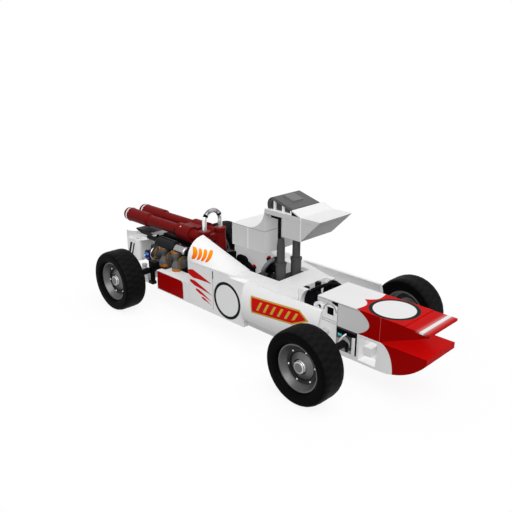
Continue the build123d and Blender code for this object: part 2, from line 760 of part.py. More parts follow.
def cowl_brackets():
    """Black angle on each post: up below the rim and back to the face of the rear block."""
    ys = (POST_Y, POST_Y + BRACKET_W)
    xs = (POST_X - BRACKET_W, POST_X)
    top = RIM_Z - BRACKET_DROP
    upright = block(xs, ys, (POST_TOP, top))
    arm = block((COWL_FACE_X, xs[0]), ys, (top - BRACKET_W, top))
    return pair(upright + arm)


def cowl_rear():
    """Hollow rear block whose top sweeps up in a hollow saddle to the rim."""
    top = (COWL_FACE_X, COWL_TOP_Z)
    low = (COWL_SADDLE_X, COWL_STEP_Z)
    run = top[0] - low[0]
    rise = top[1] - low[1]
    middle = (low[0] + run * sin(radians(45)), low[1] + rise * (1 - cos(radians(45))))
    foot = (COWL_FACE_X, COWL_BASE_Z)
    heel = (COWL_REAR_X, COWL_BASE_Z)
    edge = (COWL_REAR_X, COWL_STEP_Z)
    shell = across(face(Line(heel, foot), Line(foot, top), ThreePointArc(top, middle, low),
                        Line(low, edge), Line(edge, heel)), (-BODY_Y, BODY_Y))
    inner_y = BODY_Y - COWL_WALL_T
    return shell - block((COWL_REAR_X + COWL_WALL_T, COWL_FACE_X - COWL_WALL_T), (-inner_y, inner_y),
                         (COWL_BASE_Z, COWL_STEP_Z - COWL_WALL_T))


def cowl_front_x(z):
    """The cowl's inverted front at level z, which rises forward at 45 degrees."""
    return COWL_BREAK_X + z - COWL_WALL_Z


def cowl_deck():
    """Rim round the roof opening, the deck ahead of it and the small slope between them."""
    profile = polygon((COWL_FACE_X, RIM_Z), (cowl_front_x(RIM_Z), RIM_Z),
                      (cowl_front_x(COWL_TOP_Z), COWL_TOP_Z),
                      (COWL_BREAK_X, COWL_TOP_Z), (WEDGE_X, COWL_TOP_Z + WEDGE_H), (WEDGE_X, COWL_TOP_Z),
                      (COWL_FACE_X, COWL_TOP_Z))
    deck = across(profile, (-BODY_Y, BODY_Y))
    inner_y = BODY_Y - WALL_T
    return deck - block((COWL_FACE_X + WALL_T, WEDGE_X - WALL_T / 2), (-inner_y, inner_y),
                        (RIM_Z, COWL_TOP_Z))


def cowl_walls():
    """Side walls under the rim and the inverted sloping front."""
    inner_y = BODY_Y - COWL_WALL_T
    wall = pair(block((COWL_WALL_X, COWL_BREAK_X), (inner_y, BODY_Y), (COWL_WALL_Z, RIM_Z)))
    front = across(polygon((COWL_BREAK_X, COWL_WALL_Z), (cowl_front_x(RIM_Z), RIM_Z), (COWL_BREAK_X, RIM_Z)),
                   (-BODY_Y, BODY_Y))
    return wall + front


def roof_z(x):
    """Top of the sloping roof at x."""
    run = (ROOF_X[1] - x) / (ROOF_X[1] - ROOF_X[0] - ROOF_ROUND_L)
    return COWL_TOP_Z + ROOF_FRONT_H + (ROOF_REAR_H - ROOF_FRONT_H) * run


def cowl_roof():
    """Dark sloping roof, rounded down at the back, with a low square hatch."""
    def skin(inset):
        start = (ROOF_X[0] + inset, COWL_TOP_Z)
        knee = (ROOF_X[0] + ROOF_ROUND_L, roof_z(ROOF_X[0] + ROOF_ROUND_L) - inset)
        bulge = (start[0] + ROOF_ROUND_L * 0.22, knee[1] - ROOF_ROUND_L * 0.38)
        return start, bulge, knee, (ROOF_X[1], roof_z(ROOF_X[1]) - inset)
    outer = skin(0)
    inner = skin(ROOF_T)
    shell = across(face(ThreePointArc(*outer[:3]), Line(*outer[2:]), Line(outer[3], inner[3]),
                        Line(*inner[2:]), ThreePointArc(*inner[:3]), Line(inner[0], outer[0])),
                   (-ROOF_Y, ROOF_Y))
    corners = [(x, roof_z(x) + lift) for x, lift in (
        (HATCH_X[0], 0), (HATCH_X[1], 0), (HATCH_X[1], HATCH_T), (HATCH_X[0], HATCH_T))]
    return shell + across(polygon(*corners), (-HATCH_Y, HATCH_Y))


def cowl_pillars():
    """Thin white pillars between the rim and the roof."""
    pillars = Part()
    for x in PILLAR_XS:
        half = PILLAR_T / 2
        top = [(x + half, roof_z(x + half) - ROOF_T), (x - half, roof_z(x - half) - ROOF_T)]
        outline = polygon((x - half, COWL_TOP_Z), (x + half, COWL_TOP_Z), *top)
        pillars += across(outline, (ROOF_Y - PILLAR_W, ROOF_Y))
    return pair(pillars)


save("post_bases", post_bases())
save("post_rods", post_rods())
save("cowl_brackets", cowl_brackets())
save("cowl_rear", cowl_rear())
save("cowl_deck", cowl_deck())
save("cowl_walls", cowl_walls())
save("cowl_roof", cowl_roof())
save("cowl_pillars", cowl_pillars())


# Engine and exhausts

def engine_block():
    """Plain engine block on a narrower sump, with a raised valley cover."""
    block_y = (-ENGINE_Y, ENGINE_Y)
    engine = block(ENGINE_X, block_y, (LOWER_Z, ENGINE_Z))
    engine += block((SIDE_BOX_X, ENGINE_X[1]), block_y, (FLOOR_TOP, LOWER_Z))
    engine -= post(SOCKET_XS[0], 0, SOCKET_BOSS_R + SOCKET_GAP, (FLOOR_TOP, FLOOR_Z + SOCKET_L))
    return engine + block(ENGINE_X, (-VALLEY_Y, VALLEY_Y), (ENGINE_Z, ENGINE_Z + VALLEY_H))


def cylinders():
    """Waisted cylinders between the side boxes and the heads."""
    low = SIDE_BOX_Z + CYL_RING_T
    high = ENGINE_Z - CYL_RING_T
    middle = (low + high) / 2
    bank = Part()
    for x in CYLINDER_XS:
        bank += turned(x, CYLINDER_Y, ((CYLINDER_R, low), (CYLINDER_R, low + CYL_RING_T), (WAIST_R, middle),
                                       (CYLINDER_R, high - CYL_RING_T), (CYLINDER_R, high)))
    return pair(bank)


def cylinder_rings():
    """Copper end rings above and below each cylinder."""
    rings = Part()
    for x in CYLINDER_XS:
        rings += post(x, CYLINDER_Y, CYLINDER_R, (SIDE_BOX_Z, SIDE_BOX_Z + CYL_RING_T))
        rings += post(x, CYLINDER_Y, CYLINDER_R, (ENGINE_Z - CYL_RING_T, ENGINE_Z))
    return pair(rings)


def cylinder_discs():
    """Discs beside the waists, against the block, each with a cone that narrows forward."""
    z = (SIDE_BOX_Z + ENGINE_Z) / 2
    step = (CYLINDER_XS[1] - CYLINDER_XS[0]) / 2
    discs = Part()
    for x in (CYLINDER_XS[0] - step, CYLINDER_XS[0] + step, CYLINDER_XS[1] + step):
        y = ENGINE_Y + DISC_R
        discs += rod_x(y, z, DISC_R, (x - DISC_T / 2, x + DISC_T / 2))
        cone_l = step - DISC_T / 2 - CYLINDER_R
        discs += Pos(x + (DISC_T + cone_l) / 2, y, z) * Rot(0, 90, 0) * Cone(DISC_R, WAIST_R, cone_l)
    return pair(discs)


def head(xs, radius):
    """Half-round cover along one bank, with rounded ends."""
    y = CYLINDER_Y - HEAD_SHIFT
    cover = rod_x(y, ENGINE_Z, radius, xs)
    cover &= block(xs, (y - radius, y + radius), (ENGINE_Z, ENGINE_Z + radius))
    ends = cover.edges().filter_by(GeomType.CIRCLE)
    return fillet(ends, HEAD_EDGE_R)


def heads():
    """Covers over the cylinders, with a feed pipe behind each."""
    xs = (CYLINDER_XS[0] - HEAD_OVERHANG, HEAD_SPLIT_X)
    y = CYLINDER_Y - HEAD_SHIFT
    feed = rod_x(y, ENGINE_Z + FEED_R, FEED_R, (xs[0] - FEED_L, xs[0] + HEAD_EDGE_R))
    return pair(head(xs, HEAD_R) + feed)


def head_caps():
    """Bright covers ahead of the heads."""
    return pair(head((HEAD_SPLIT_X, HEAD_SPLIT_X + HEAD_CAP_L), HEAD_CAP_R))


def exhaust_pipes():
    """Twin pipes with a wider tail section and rounded ends."""
    tail_end = TAIL_X + TAIL_PIPE_L
    taper = TAIL_PIPE_R - PIPE_R
    bevel = TAIL_ROUND_R * (1 - cos(radians(45)))
    profile = face(
        Line((TAIL_X, 0), (TAIL_X, TAIL_PIPE_R - TAIL_ROUND_R)),
        ThreePointArc((TAIL_X, TAIL_PIPE_R - TAIL_ROUND_R), (TAIL_X + bevel, TAIL_PIPE_R - bevel),
                      (TAIL_X + TAIL_ROUND_R, TAIL_PIPE_R)),
        Polyline((TAIL_X + TAIL_ROUND_R, TAIL_PIPE_R), (tail_end, TAIL_PIPE_R), (tail_end + taper, PIPE_R),
                 (MANIFOLD_X[0], PIPE_R), (MANIFOLD_X[0], 0), (TAIL_X, 0)))
    return pair(Pos(0, PIPE_Y, PIPE_Z) * revolve(Plane.XZ * profile, axis=Axis.X))


def exhaust_rings():
    """Thin bright band round each tail."""
    xs = (PIPE_RING_X, PIPE_RING_X + PIPE_RING_L)
    band = rod_x(PIPE_Y, PIPE_Z, TAIL_PIPE_R + PIPE_RING_T, xs)
    return pair(band - rod_x(PIPE_Y, PIPE_Z, TAIL_PIPE_R + SEAT_FIT, xs))


def manifold():
    """Sleeves round the pipes on a foot over the valley, joined by a bridge, with headers to the cups."""
    sleeve = rod_x(PIPE_Y, PIPE_Z, SLEEVE_R, MANIFOLD_X)
    xs = (MANIFOLD_X[1], HOOP_X - CUP_LIP_R - HEADER_GAP)
    length = xs[1] - xs[0]
    header = Pos(xs[0] + length / 2, PIPE_Y, PIPE_Z) * Rot(0, 90, 0) * Cone(HEADER_R, HEADER_END_R, length)
    bridge = block(MANIFOLD_X, (-PIPE_Y, PIPE_Y), (PIPE_Z - BRIDGE_H / 2, PIPE_Z + BRIDGE_H / 2))
    foot = block(MANIFOLD_X, (-VALLEY_Y, VALLEY_Y), (ENGINE_Z + VALLEY_H, PIPE_Z))
    return pair(sleeve + header) + bridge + foot


def hoop_cups():
    """Flared cups on the bulkhead that hold the legs of the hoop, with a link between them."""
    waist = HOOP_BASE_Z - 2 * CUP_LIP_T
    cups = pair(turned(HOOP_X, HOOP_Y, (
        (CUP_FOOT_R, TILE_Z), (CUP_FOOT_R, TILE_Z + CUP_LIP_T), (CUP_WAIST_R, waist),
        (CUP_LIP_R, HOOP_BASE_Z - CUP_LIP_T), (CUP_LIP_R, HOOP_BASE_Z))))
    link_x = (HOOP_X - CUP_LIP_T, HOOP_X + CUP_LIP_T)
    return cups + block(link_x, (-HOOP_Y, HOOP_Y), (waist - CUP_LINK_H, waist))


def roll_hoop():
    """Round-bar arch on the two cups."""
    top = HOOP_BASE_Z + HOOP_LEG_L
    path = Curve() + [Line((-HOOP_Y, HOOP_BASE_Z), (-HOOP_Y, top)),
                      ThreePointArc((-HOOP_Y, top), (0, top + HOOP_Y), (HOOP_Y, top)),
                      Line((HOOP_Y, top), (HOOP_Y, HOOP_BASE_Z))]
    path = Plane.YZ.offset(HOOP_X) * path
    start = Plane(origin=(HOOP_X, -HOOP_Y, HOOP_BASE_Z), z_dir=(0, 0, 1))
    return sweep(start * Circle(HOOP_BAR_R), path=path)


save("engine_block", engine_block())
save("cylinders", cylinders())
save("cylinder_rings", cylinder_rings())
save("cylinder_discs", cylinder_discs())
save("heads", heads())
save("head_caps", head_caps())
save("exhaust_pipes", exhaust_pipes())
save("exhaust_rings", exhaust_rings())
save("manifold", manifold())
save("hoop_cups", hoop_cups())
save("roll_hoop", roll_hoop())


# Tail

def rear_frame():
    """Open tray that carries the rear axles, with a lamp seat on each side and a spine to the tail box."""
    tray_x = FRAME_X + SPINE_L
    frame = block((tray_x, SIDE_BOX_X), (-FRAME_Y, FRAME_Y), (FLOOR_TOP, LOWER_Z))
    inner_y = FRAME_Y - FRAME_WALL_T
    frame -= block((tray_x + FRAME_WALL_T, SIDE_BOX_X - FRAME_WALL_T), (-inner_y, inner_y),
                   (FLOOR_TOP + FRAME_WALL_T, LOWER_Z))
    frame += block((FRAME_X, tray_x), (-SPINE_Y, SPINE_Y), (REAR_COWL_Z, LOWER_Z))
    seat_pad = block((LENS_X - LENS_R, LENS_X + LENS_R), (FRAME_Y, FRAME_Y + LENS_SEAT_T),
                     (LENS_Z - LENS_R, LOWER_Z))
    frame += pair(seat_pad)
    return frame - rod_y(REAR_X, AXLE_Z, BORE_R, (-SIDE_Y, SIDE_Y))


def damper(x, y, zs):
    """Ribbed upright damper: plain discs spaced along a thinner rod."""
    low, high = zs
    pitch = (high - low) / (2 * DAMPER_RIBS - 1)
    column = post(x, y, DAMPER_ROD_R, zs)
    for rib in range(DAMPER_RIBS):
        base = low + 2 * rib * pitch
        column += post(x, y, DAMPER_R, (base, base + pitch))
    return column


def rear_uprights():
    """A damper and a capped strut on a foot at each side, held by a bar from the rear frame."""
    y = sum(UPRIGHT_Y) / 2
    zs = (FLOOR_TOP, FLOOR_TOP + STRUT_H)
    damper_x = REAR_X - DAMPER_SET
    strut_x = REAR_X + STRUT_SET
    stand = damper(damper_x, y, zs) + post(strut_x, y, STRUT_R, zs)
    cap_x = strut_x - STRUT_R
    stand += block((cap_x, cap_x + STRUT_CAP_L), UPRIGHT_Y, (zs[1], zs[1] + STRUT_CAP_H))
    stand += block((damper_x - DAMPER_R, strut_x + STRUT_R), UPRIGHT_Y, (FLOOR_TOP - FOOT_T, FLOOR_TOP))
    half = LINK_BAR / 2
    stand += block((REAR_X - half, REAR_X + half), (FRAME_Y, UPRIGHT_Y[1]), (FLOOR_TOP, FLOOR_TOP + LINK_BAR))
    return pair(stand)


def lenses():
    """Round blue lamps with a flat back on the frame's seats."""
    ball = Pos(LENS_X, LENS_Y, LENS_Z) * Sphere(LENS_R)
    return pair(ball & block((FRAME_X, SIDE_BOX_X), (FRAME_Y + LENS_SEAT_T, SIDE_Y), (0, DECK_Z)))


def rear_cowl():
    """White tail box with rounded upright corners, hollow from below, and a lip that dips in the middle."""
    xs = (FRAME_X - REAR_COWL_L, FRAME_X)
    zs = (REAR_COWL_Z, REAR_COWL_Z + REAR_COWL_H)
    box = block(xs, (-BODY_Y, BODY_Y), zs)
    box = fillet(box.edges().filter_by(Axis.Z).group_by(Axis.X)[-1], REAR_COWL_R)
    wall = REAR_COWL_WALL_T
    inner_y = BODY_Y - wall
    box -= block((xs[0] + wall, xs[1] - wall), (-inner_y, inner_y), (zs[0], zs[1] - wall))
    crest = zs[1] + REAR_LIP_H
    left, right = (BODY_Y, crest), (-BODY_Y, crest)
    lip = face(Line((-BODY_Y, zs[1]), (BODY_Y, zs[1])), Line((BODY_Y, zs[1]), left),
               ThreePointArc(left, (0, crest - REAR_LIP_DIP), right), Line(right, (-BODY_Y, zs[1])))
    return box + along(lip, (xs[0], xs[0] + REAR_LIP_T))


def rear_fin():
    """Dark plate under the pipes with a thin rear edge, on a stem from the tail box."""
    top = REAR_COWL_Z + REAR_COWL_H
    base = top + FIN_RISE
    back, front = FIN_X
    profile = polygon((back, base + FIN_T - FIN_TIP_T), (back + FIN_TIP_L, base), (front, base),
                      (front, base + FIN_T), (back, base + FIN_T))
    stem = block((back + FIN_TIP_L, FRAME_X), (-FIN_STEM_Y, FIN_STEM_Y), (top, base))
    return across(profile, (-FIN_Y, FIN_Y)) + stem


def rear_bars():
    """Bright stays that rise from the tail box to the engine's rear end."""
    top = REAR_COWL_Z + REAR_COWL_H
    start = Vector(FRAME_X - BAR_R, BAR_Y, top)
    end = Vector(ENGINE_X[0], BAR_Y, ENGINE_Z + BAR_END_RISE)
    reach = (end - start).length
    stay = Plane(origin=start, z_dir=end - start) * Cylinder(BAR_R, 4 * reach)
    keep = block((TAIL_X, end.X), (0, SIDE_Y), (top, DECK_Z + SIDE_Y))
    return pair(stay & keep)


save("rear_frame", rear_frame())
save("rear_uprights", rear_uprights())
save("lenses", lenses())
save("rear_cowl", rear_cowl())
save("rear_fin", rear_fin())
save("rear_bars", rear_bars())
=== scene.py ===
"""Looks of a brick-built toy racing car with a raised cowl: finishes, paint, treaded tyres and small trim.

Pieces are worked out in millimetres and stored in metres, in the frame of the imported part:
+X is the nose, +Y the left side, +Z up, with the origin on the ground midway between the axles.
"""
from math import cos, pi, radians, sin

import bmesh
import bpy
import numpy as np
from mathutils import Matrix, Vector


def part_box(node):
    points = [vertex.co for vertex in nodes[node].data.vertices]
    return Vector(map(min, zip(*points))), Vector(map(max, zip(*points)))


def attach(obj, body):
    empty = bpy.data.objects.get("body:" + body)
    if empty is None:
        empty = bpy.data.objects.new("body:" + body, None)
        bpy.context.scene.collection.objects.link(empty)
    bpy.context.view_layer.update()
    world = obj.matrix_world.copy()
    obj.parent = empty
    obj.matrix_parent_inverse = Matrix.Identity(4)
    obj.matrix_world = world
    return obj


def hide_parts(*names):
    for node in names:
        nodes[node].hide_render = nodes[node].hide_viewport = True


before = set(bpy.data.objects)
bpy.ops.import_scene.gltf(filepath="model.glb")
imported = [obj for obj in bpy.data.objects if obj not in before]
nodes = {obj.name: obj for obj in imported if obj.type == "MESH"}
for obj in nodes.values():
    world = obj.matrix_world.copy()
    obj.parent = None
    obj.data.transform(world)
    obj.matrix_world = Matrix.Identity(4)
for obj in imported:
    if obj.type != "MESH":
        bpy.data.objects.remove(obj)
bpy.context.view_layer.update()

MM = 0.001
CORNERS = [f"{end}_{side}" for end in ("front", "rear") for side in ("left", "right")]

# Colours, linear
WHITE = (0.93, 0.93, 0.93, 1)
# painted highlight on the cowl's upright seams
SEAM_HIGHLIGHT_WHITE = (1, 1, 1, 1)
# painted shade: greyer white for the sides of the hood and cowl
SIDE_SHADE_GREY = (0.69, 0.69, 0.69, 1)
PIN_GREY = (0.55, 0.55, 0.55, 1)
PANEL_GREY = (0.36, 0.365, 0.37, 1)
SEAM_GREY = (0.36, 0.36, 0.36, 1)
SHADED = (0.35, 0.35, 0.35, 1)
# painted highlight on the steering rim's right half
STEERING_HIGHLIGHT_GREY = (0.22, 0.225, 0.23, 1)
HATCH_GREY = (0.20, 0.20, 0.202, 1)
RIM_GREY = (0.15, 0.15, 0.152, 1)
CAP_FACE_SHADE = (0.15, 0.15, 0.155, 1)
CYLINDER_GREY = (0.13, 0.132, 0.135, 1)
ROOF_GREY = (0.125, 0.125, 0.127, 1)
POST_GREY = (0.080, 0.081, 0.083, 1)
DARK_GREY = (0.058, 0.060, 0.062, 1)
RIM_WEB_SHADE = (0.028, 0.028, 0.030, 1)
HEAD_BLACK = (0.010, 0.011, 0.012, 1)
TREAD_PATCH = (0.009, 0.009, 0.0095, 1)
AXLE_BLACK = (0.008, 0.008, 0.009, 1)
TREAD_BLACK = (0.006, 0.006, 0.0065, 1)
BLACK = (0.004, 0.004, 0.005, 1)
SIDEWALL_BLACK = (0.0025, 0.0025, 0.003, 1)
INK = (0.002, 0.004, 0.005, 1)
RING_INK = (0.002, 0.020, 0.021, 1)
RED = (0.62, 0.004, 0.004, 1)
# painted shade: darker red for the sides of red parts
SHADED_SIDE_RED = (0.36, 0.002, 0.002, 1)
DARK_RED = (0.17, 0.0065, 0.0065, 1)
SEAM_PINK = (0.62, 0.07, 0.07, 1)
ORANGE = (1.0, 0.34, 0.004, 1)
DEEP_ORANGE = (0.95, 0.14, 0.002, 1)
GOLD = (0.60, 0.40, 0.05, 1)
COPPER = (0.50, 0.19, 0.035, 1)
BROWN = (0.19, 0.085, 0.014, 1)
CYAN = (0.08, 0.90, 0.95, 1)
LENS_BLUE = (0.004, 0.012, 0.22, 1)
SILVER = (0.62, 0.62, 0.63, 1)
CHROME = (0.72, 0.72, 0.74, 1)
HOOP_CHROME = (0.92, 0.92, 0.93, 1)
HOOP_CROWN_HIGHLIGHT = (0.42, 0.42, 0.43, 1)
HOOP_SHADE = (0.16, 0.16, 0.17, 1)
FIN_HIGHLIGHT = (0.40, 0.40, 0.41, 1)
HEAD_CAP_METAL = (0.34, 0.34, 0.35, 1)


# Shader values that read as formulas

class Field:
    """A value that varies over a surface; arithmetic on it makes Math nodes, so a mask reads as a formula."""

    def __init__(self, tree, socket):
        self.tree = tree
        self.socket = socket

    def math(self, operation, *others, clamp=False):
        node = self.tree.nodes.new("ShaderNodeMath")
        node.operation = operation
        node.use_clamp = clamp
        for slot, value in zip(node.inputs, (self, *others)):
            if isinstance(value, Field):
                self.tree.links.new(value.socket, slot)
            else:
                slot.default_value = value
        return Field(self.tree, node.outputs[0])

    def __add__(self, other):
        return self.math("ADD", other)

    def __sub__(self, other):
        return self.math("SUBTRACT", other)

    def __mul__(self, other):
        return self.math("MULTIPLY", other)

    def __truediv__(self, other):
        return self.math("DIVIDE", other)

    def __abs__(self):
        return self.math("ABSOLUTE")

    def from_one(self):
        """1 less the value."""
        return self.math("MULTIPLY_ADD", -1.0, 1.0)

    def squared(self):
        return self.math("MULTIPLY", self)

    def root(self):
        return self.math("SQRT")

    def larger(self, other):
        return self.math("MAXIMUM", other)

    def smaller(self, other):
        return self.math("MINIMUM", other)

    def below(self, limit, soft=0.25):
        """1 where the value is under the limit and 0 above it, over an edge as wide as soft."""
        return (self - limit).math("MULTIPLY_ADD", -1 / soft, 0.5, clamp=True)

    def above(self, limit, soft=0.25):
        """1 where the value is over the limit."""
        return (self - limit).math("MULTIPLY_ADD", 1 / soft, 0.5, clamp=True)

    def between(self, low, high, soft=0.25):
        """1 where the value is from low to high."""
        return self.above(low, soft) * self.below(high, soft)

    def line(self, middle, half=0.22, soft=0.12):
        """1 on a thin line about the middle value."""
        return abs(self - middle).below(half, soft)


def distance(along, across):
    """Distance from a middle, by the root of two squared offsets."""
    return (along.squared() + across.squared()).root()


def object_place(tree):
    """The surface point's x, y and z in millimetres, as Fields."""
    source = tree.nodes.new("ShaderNodeTexCoord")
    scale = tree.nodes.new("ShaderNodeVectorMath")
    scale.operation = "SCALE"
    scale.inputs["Scale"].default_value = 1 / MM
    split = tree.nodes.new("ShaderNodeSeparateXYZ")
    tree.links.new(source.outputs["Object"], scale.inputs[0])
    tree.links.new(scale.outputs[0], split.inputs[0])
    return [Field(tree, socket) for socket in split.outputs]


def facing(tree):
    """How far the surface faces the nose, the left and up: its own normal's parts, as Fields."""
    source = tree.nodes.new("ShaderNodeTexCoord")
    split = tree.nodes.new("ShaderNodeSeparateXYZ")
    tree.links.new(source.outputs["Normal"], split.inputs[0])
    return [Field(tree, socket) for socket in split.outputs]


# Effects shared by several finishes

DRIFT_SCALE = 45.0          # noise scales over Object coordinates, in metres
PATCH_SCALE = 160.0
PEEL_SCALE = 1400.0
PATCH_GLOSS = 0.04          # how far the patches change the roughness
PEEL_HEIGHT = 0.05
EDGE_SAMPLES = 4


def new_group(name, inputs, outputs):
    """Empty shader group with (socket type, name, default) inputs and (socket type, name) outputs."""
    tree = bpy.data.node_groups.new(name, "ShaderNodeTree")
    for kind, label, default in inputs:
        socket = tree.interface.new_socket(label, in_out="INPUT", socket_type=kind)
        socket.default_value = default
    for kind, label in outputs:
        tree.interface.new_socket(label, in_out="OUTPUT", socket_type=kind)
    entry = tree.nodes.new("NodeGroupInput")
    leave = tree.nodes.new("NodeGroupOutput")
    return tree, entry.outputs, leave.inputs


def noise(tree, coordinates, scale, detail=2.0):
    """Noise value from 0 to 1 over Object coordinates."""
    node = tree.nodes.new("ShaderNodeTexNoise")
    node.inputs["Scale"].default_value = scale
    node.inputs["Detail"].default_value = detail
    tree.links.new(coordinates, node.inputs["Vector"])
    return Field(tree, node.outputs[0])


def moulded_skin_group():
    """Skin of moulded plastic: slow tone drift, patchy gloss and a fine orange peel over softened edges."""
    tree, given, made = new_group(
        "moulded_skin",
        [("NodeSocketColor", "Colour", (1, 1, 1, 1)), ("NodeSocketFloat", "Roughness", 0.3),
         ("NodeSocketFloat", "Drift", 0.03), ("NodeSocketFloat", "Grain", 0.04),
         ("NodeSocketFloat", "Edge", 0.3)],
        [("NodeSocketColor", "Colour"), ("NodeSocketFloat", "Roughness"), ("NodeSocketVector", "Normal")])
    place = tree.nodes.new("ShaderNodeTexCoord").outputs["Object"]
    drift = noise(tree, place, DRIFT_SCALE)
    patches = noise(tree, place, PATCH_SCALE, detail=3.0)
    peel = noise(tree, place, PEEL_SCALE, detail=1.0)
    tone = (drift - 0.5) * Field(tree, given["Drift"]) * 2 + 1
    scaled = tree.nodes.new("ShaderNodeVectorMath")
    scaled.operation = "SCALE"
    tree.links.new(given["Colour"], scaled.inputs[0])
    tree.links.new(tone.socket, scaled.inputs["Scale"])
    tree.links.new(scaled.outputs[0], made["Colour"])
    gloss = Field(tree, given["Roughness"]) + (patches - 0.5) * PATCH_GLOSS
    tree.links.new(gloss.socket, made["Roughness"])
    edge = tree.nodes.new("ShaderNodeBevel")
    edge.samples = EDGE_SAMPLES
    radius = Field(tree, given["Edge"]) * MM
    tree.links.new(radius.socket, edge.inputs["Radius"])
    bump = tree.nodes.new("ShaderNodeBump")
    bump.inputs["Distance"].default_value = PEEL_HEIGHT * MM
    tree.links.new(given["Grain"], bump.inputs["Strength"])
    tree.links.new(peel.socket, bump.inputs["Height"])
    tree.links.new(edge.outputs[0], bump.inputs["Normal"])
    tree.links.new(bump.outputs[0], made["Normal"])
    return tree


def roundel_group():
    """Round badge place, from two offsets to its middle: masks of its blank face and of its ring."""
    tree, given, made = new_group(
        "blank_roundel",
        [("NodeSocketFloat", "Along", 0.0), ("NodeSocketFloat", "Across", 0.0),
         ("NodeSocketFloat", "Face Radius", 1.0), ("NodeSocketFloat", "Ring Radius", 1.2)],
        [("NodeSocketFloat", "Face"), ("NodeSocketFloat", "Ring")])
    reach = distance(Field(tree, given["Along"]), Field(tree, given["Across"]))
    face = reach.below(Field(tree, given["Face Radius"]))
    disc = reach.below(Field(tree, given["Ring Radius"]))
    tree.links.new(face.socket, made["Face"])
    tree.links.new((disc - face).socket, made["Ring"])
    return tree


SKIN = moulded_skin_group()
ROUNDEL = roundel_group()


def roundel(tree, along, across, face_radius, ring_radius):
    """(face mask, ring mask) of a blank roundel."""
    node = tree.nodes.new("ShaderNodeGroup")
    node.node_tree = ROUNDEL
    tree.links.new(along.socket, node.inputs["Along"])
    tree.links.new(across.socket, node.inputs["Across"])
    node.inputs["Face Radius"].default_value = face_radius
    node.inputs["Ring Radius"].default_value = ring_radius
    return Field(tree, node.outputs["Face"]), Field(tree, node.outputs["Ring"])


def outside_of(corners, x, z):
    """Distance from a convex outline of (x, z) corners, anticlockwise: the largest of its sides' own."""
    reach = None
    for (x0, z0), (x1, z1) in zip(corners, corners[1:] + corners[:1]):
        length = ((x1 - x0) ** 2 + (z1 - z0) ** 2) ** 0.5
        side = (x - x0) * ((z1 - z0) / length) - (z - z0) * ((x1 - x0) / length)
        reach = side if reach is None else reach.larger(side)
    return reach


MIX_UNDER, MIX_OVER, MIX_RESULT = 6, 7, 2      # a Mix node's colour sockets
COAT_ROUGHNESS = 0.08


def finish(name, colour, roughness, paint=None, metallic=0.0, drift=0.012, grain=0.05, edge=0.3, coat=0.0,
           specular=0.07):
    """Moulded plastic of one colour under paint layers, each a (mask, colour) made from the point's place."""
    material = bpy.data.materials.new(name)
    material.use_nodes = True
    tree = material.node_tree
    shader = tree.nodes["Principled BSDF"]
    skin = tree.nodes.new("ShaderNodeGroup")
    skin.node_tree = SKIN
    skin.inputs["Colour"].default_value = colour
    for label, value in (("Roughness", roughness), ("Drift", drift), ("Grain", grain), ("Edge", edge)):
        skin.inputs[label].default_value = value
    if paint:
        under = None
        for mask, layer in paint(tree, *object_place(tree)):
            mix = tree.nodes.new("ShaderNodeMix")
            mix.data_type = "RGBA"
            tree.links.new(mask.socket, mix.inputs["Factor"])
            mix.inputs[MIX_UNDER].default_value = colour
            if under:
                tree.links.new(under, mix.inputs[MIX_UNDER])
            mix.inputs[MIX_OVER].default_value = layer
            under = mix.outputs[MIX_RESULT]
        tree.links.new(under, skin.inputs["Colour"])
    for label, socket in (("Colour", "Base Color"), ("Roughness", "Roughness"), ("Normal", "Normal")):
        tree.links.new(skin.outputs[label], shader.inputs[socket])
    shader.inputs["Metallic"].default_value = metallic
    shader.inputs["Coat Weight"].default_value = coat
    shader.inputs["Coat Roughness"].default_value = COAT_ROUGHNESS
    shader.inputs["Specular IOR Level"].default_value = specular
    return material


# Paint layers: each function takes a point's place and gives (mask, colour) layers, later ones over earlier

SHARP = 0.05                # widths of the closest paint edges
CRISP = 0.1
BODY_Y = 16.0               # half the body's width
BODY_SIDE_Y = BODY_Y - 0.1  # faces beyond this lie in the body's sides
AXLE_X = 96.0
AXLE_Z = 23.6


def on_body_side(y):
    """1 on the body's flat sides."""
    return abs(y).above(BODY_SIDE_Y, SHARP)


def wheel_reach(x, z):
    """Distance from the nearer axle's line."""
    return distance(abs(x) - AXLE_X, z - AXLE_Z)


HOOD_CUSP_X = 97.0          # white and red meet here on the centreline
HOOD_LOBE_X = 103.2         # foremost white points of the hood's top
HOOD_LOBE_Y = 8.0
HOOD_LOBE_FALL = 1.2        # from the lobes back to the top's edges
HOOD_SIDE_X = 112.2         # foremost white point on the hood's sides
HOOD_SIDE_Z = 40.2
HOOD_SIDE_RISE = 8.0        # this far above or below it, the side's arc has fallen back by the next value
HOOD_SIDE_FALL = 8.5
ROUNDEL_X = 119.0
ROUNDEL_FACE_R = 13.2
ROUNDEL_RING_R = 15.6
NOSE_TOP_Z = 48.0           # faces above this are the nose's top
STRIPE_X = 147.0
STRIPE_HALF = 1.25
STRIPE_FOOT_Z = 47.0
STRIPE_GLOW = 5.0           # reach of the pale fade beside the stripe
STRIPE_GLOW_SHARE = 0.55
NOSE_SEAM_X = 120.0
HOOD_REAR_X = 88.4
HOOD_TILE_Z = 47.5
HOOD_TILE_SEAM_END_X = 104.0
HOOD_GAP = [(83.6, 46.6), (HOOD_REAR_X, 45.2), (HOOD_REAR_X, 47.9), (83.6, 47.9)]     # (x, z) corners


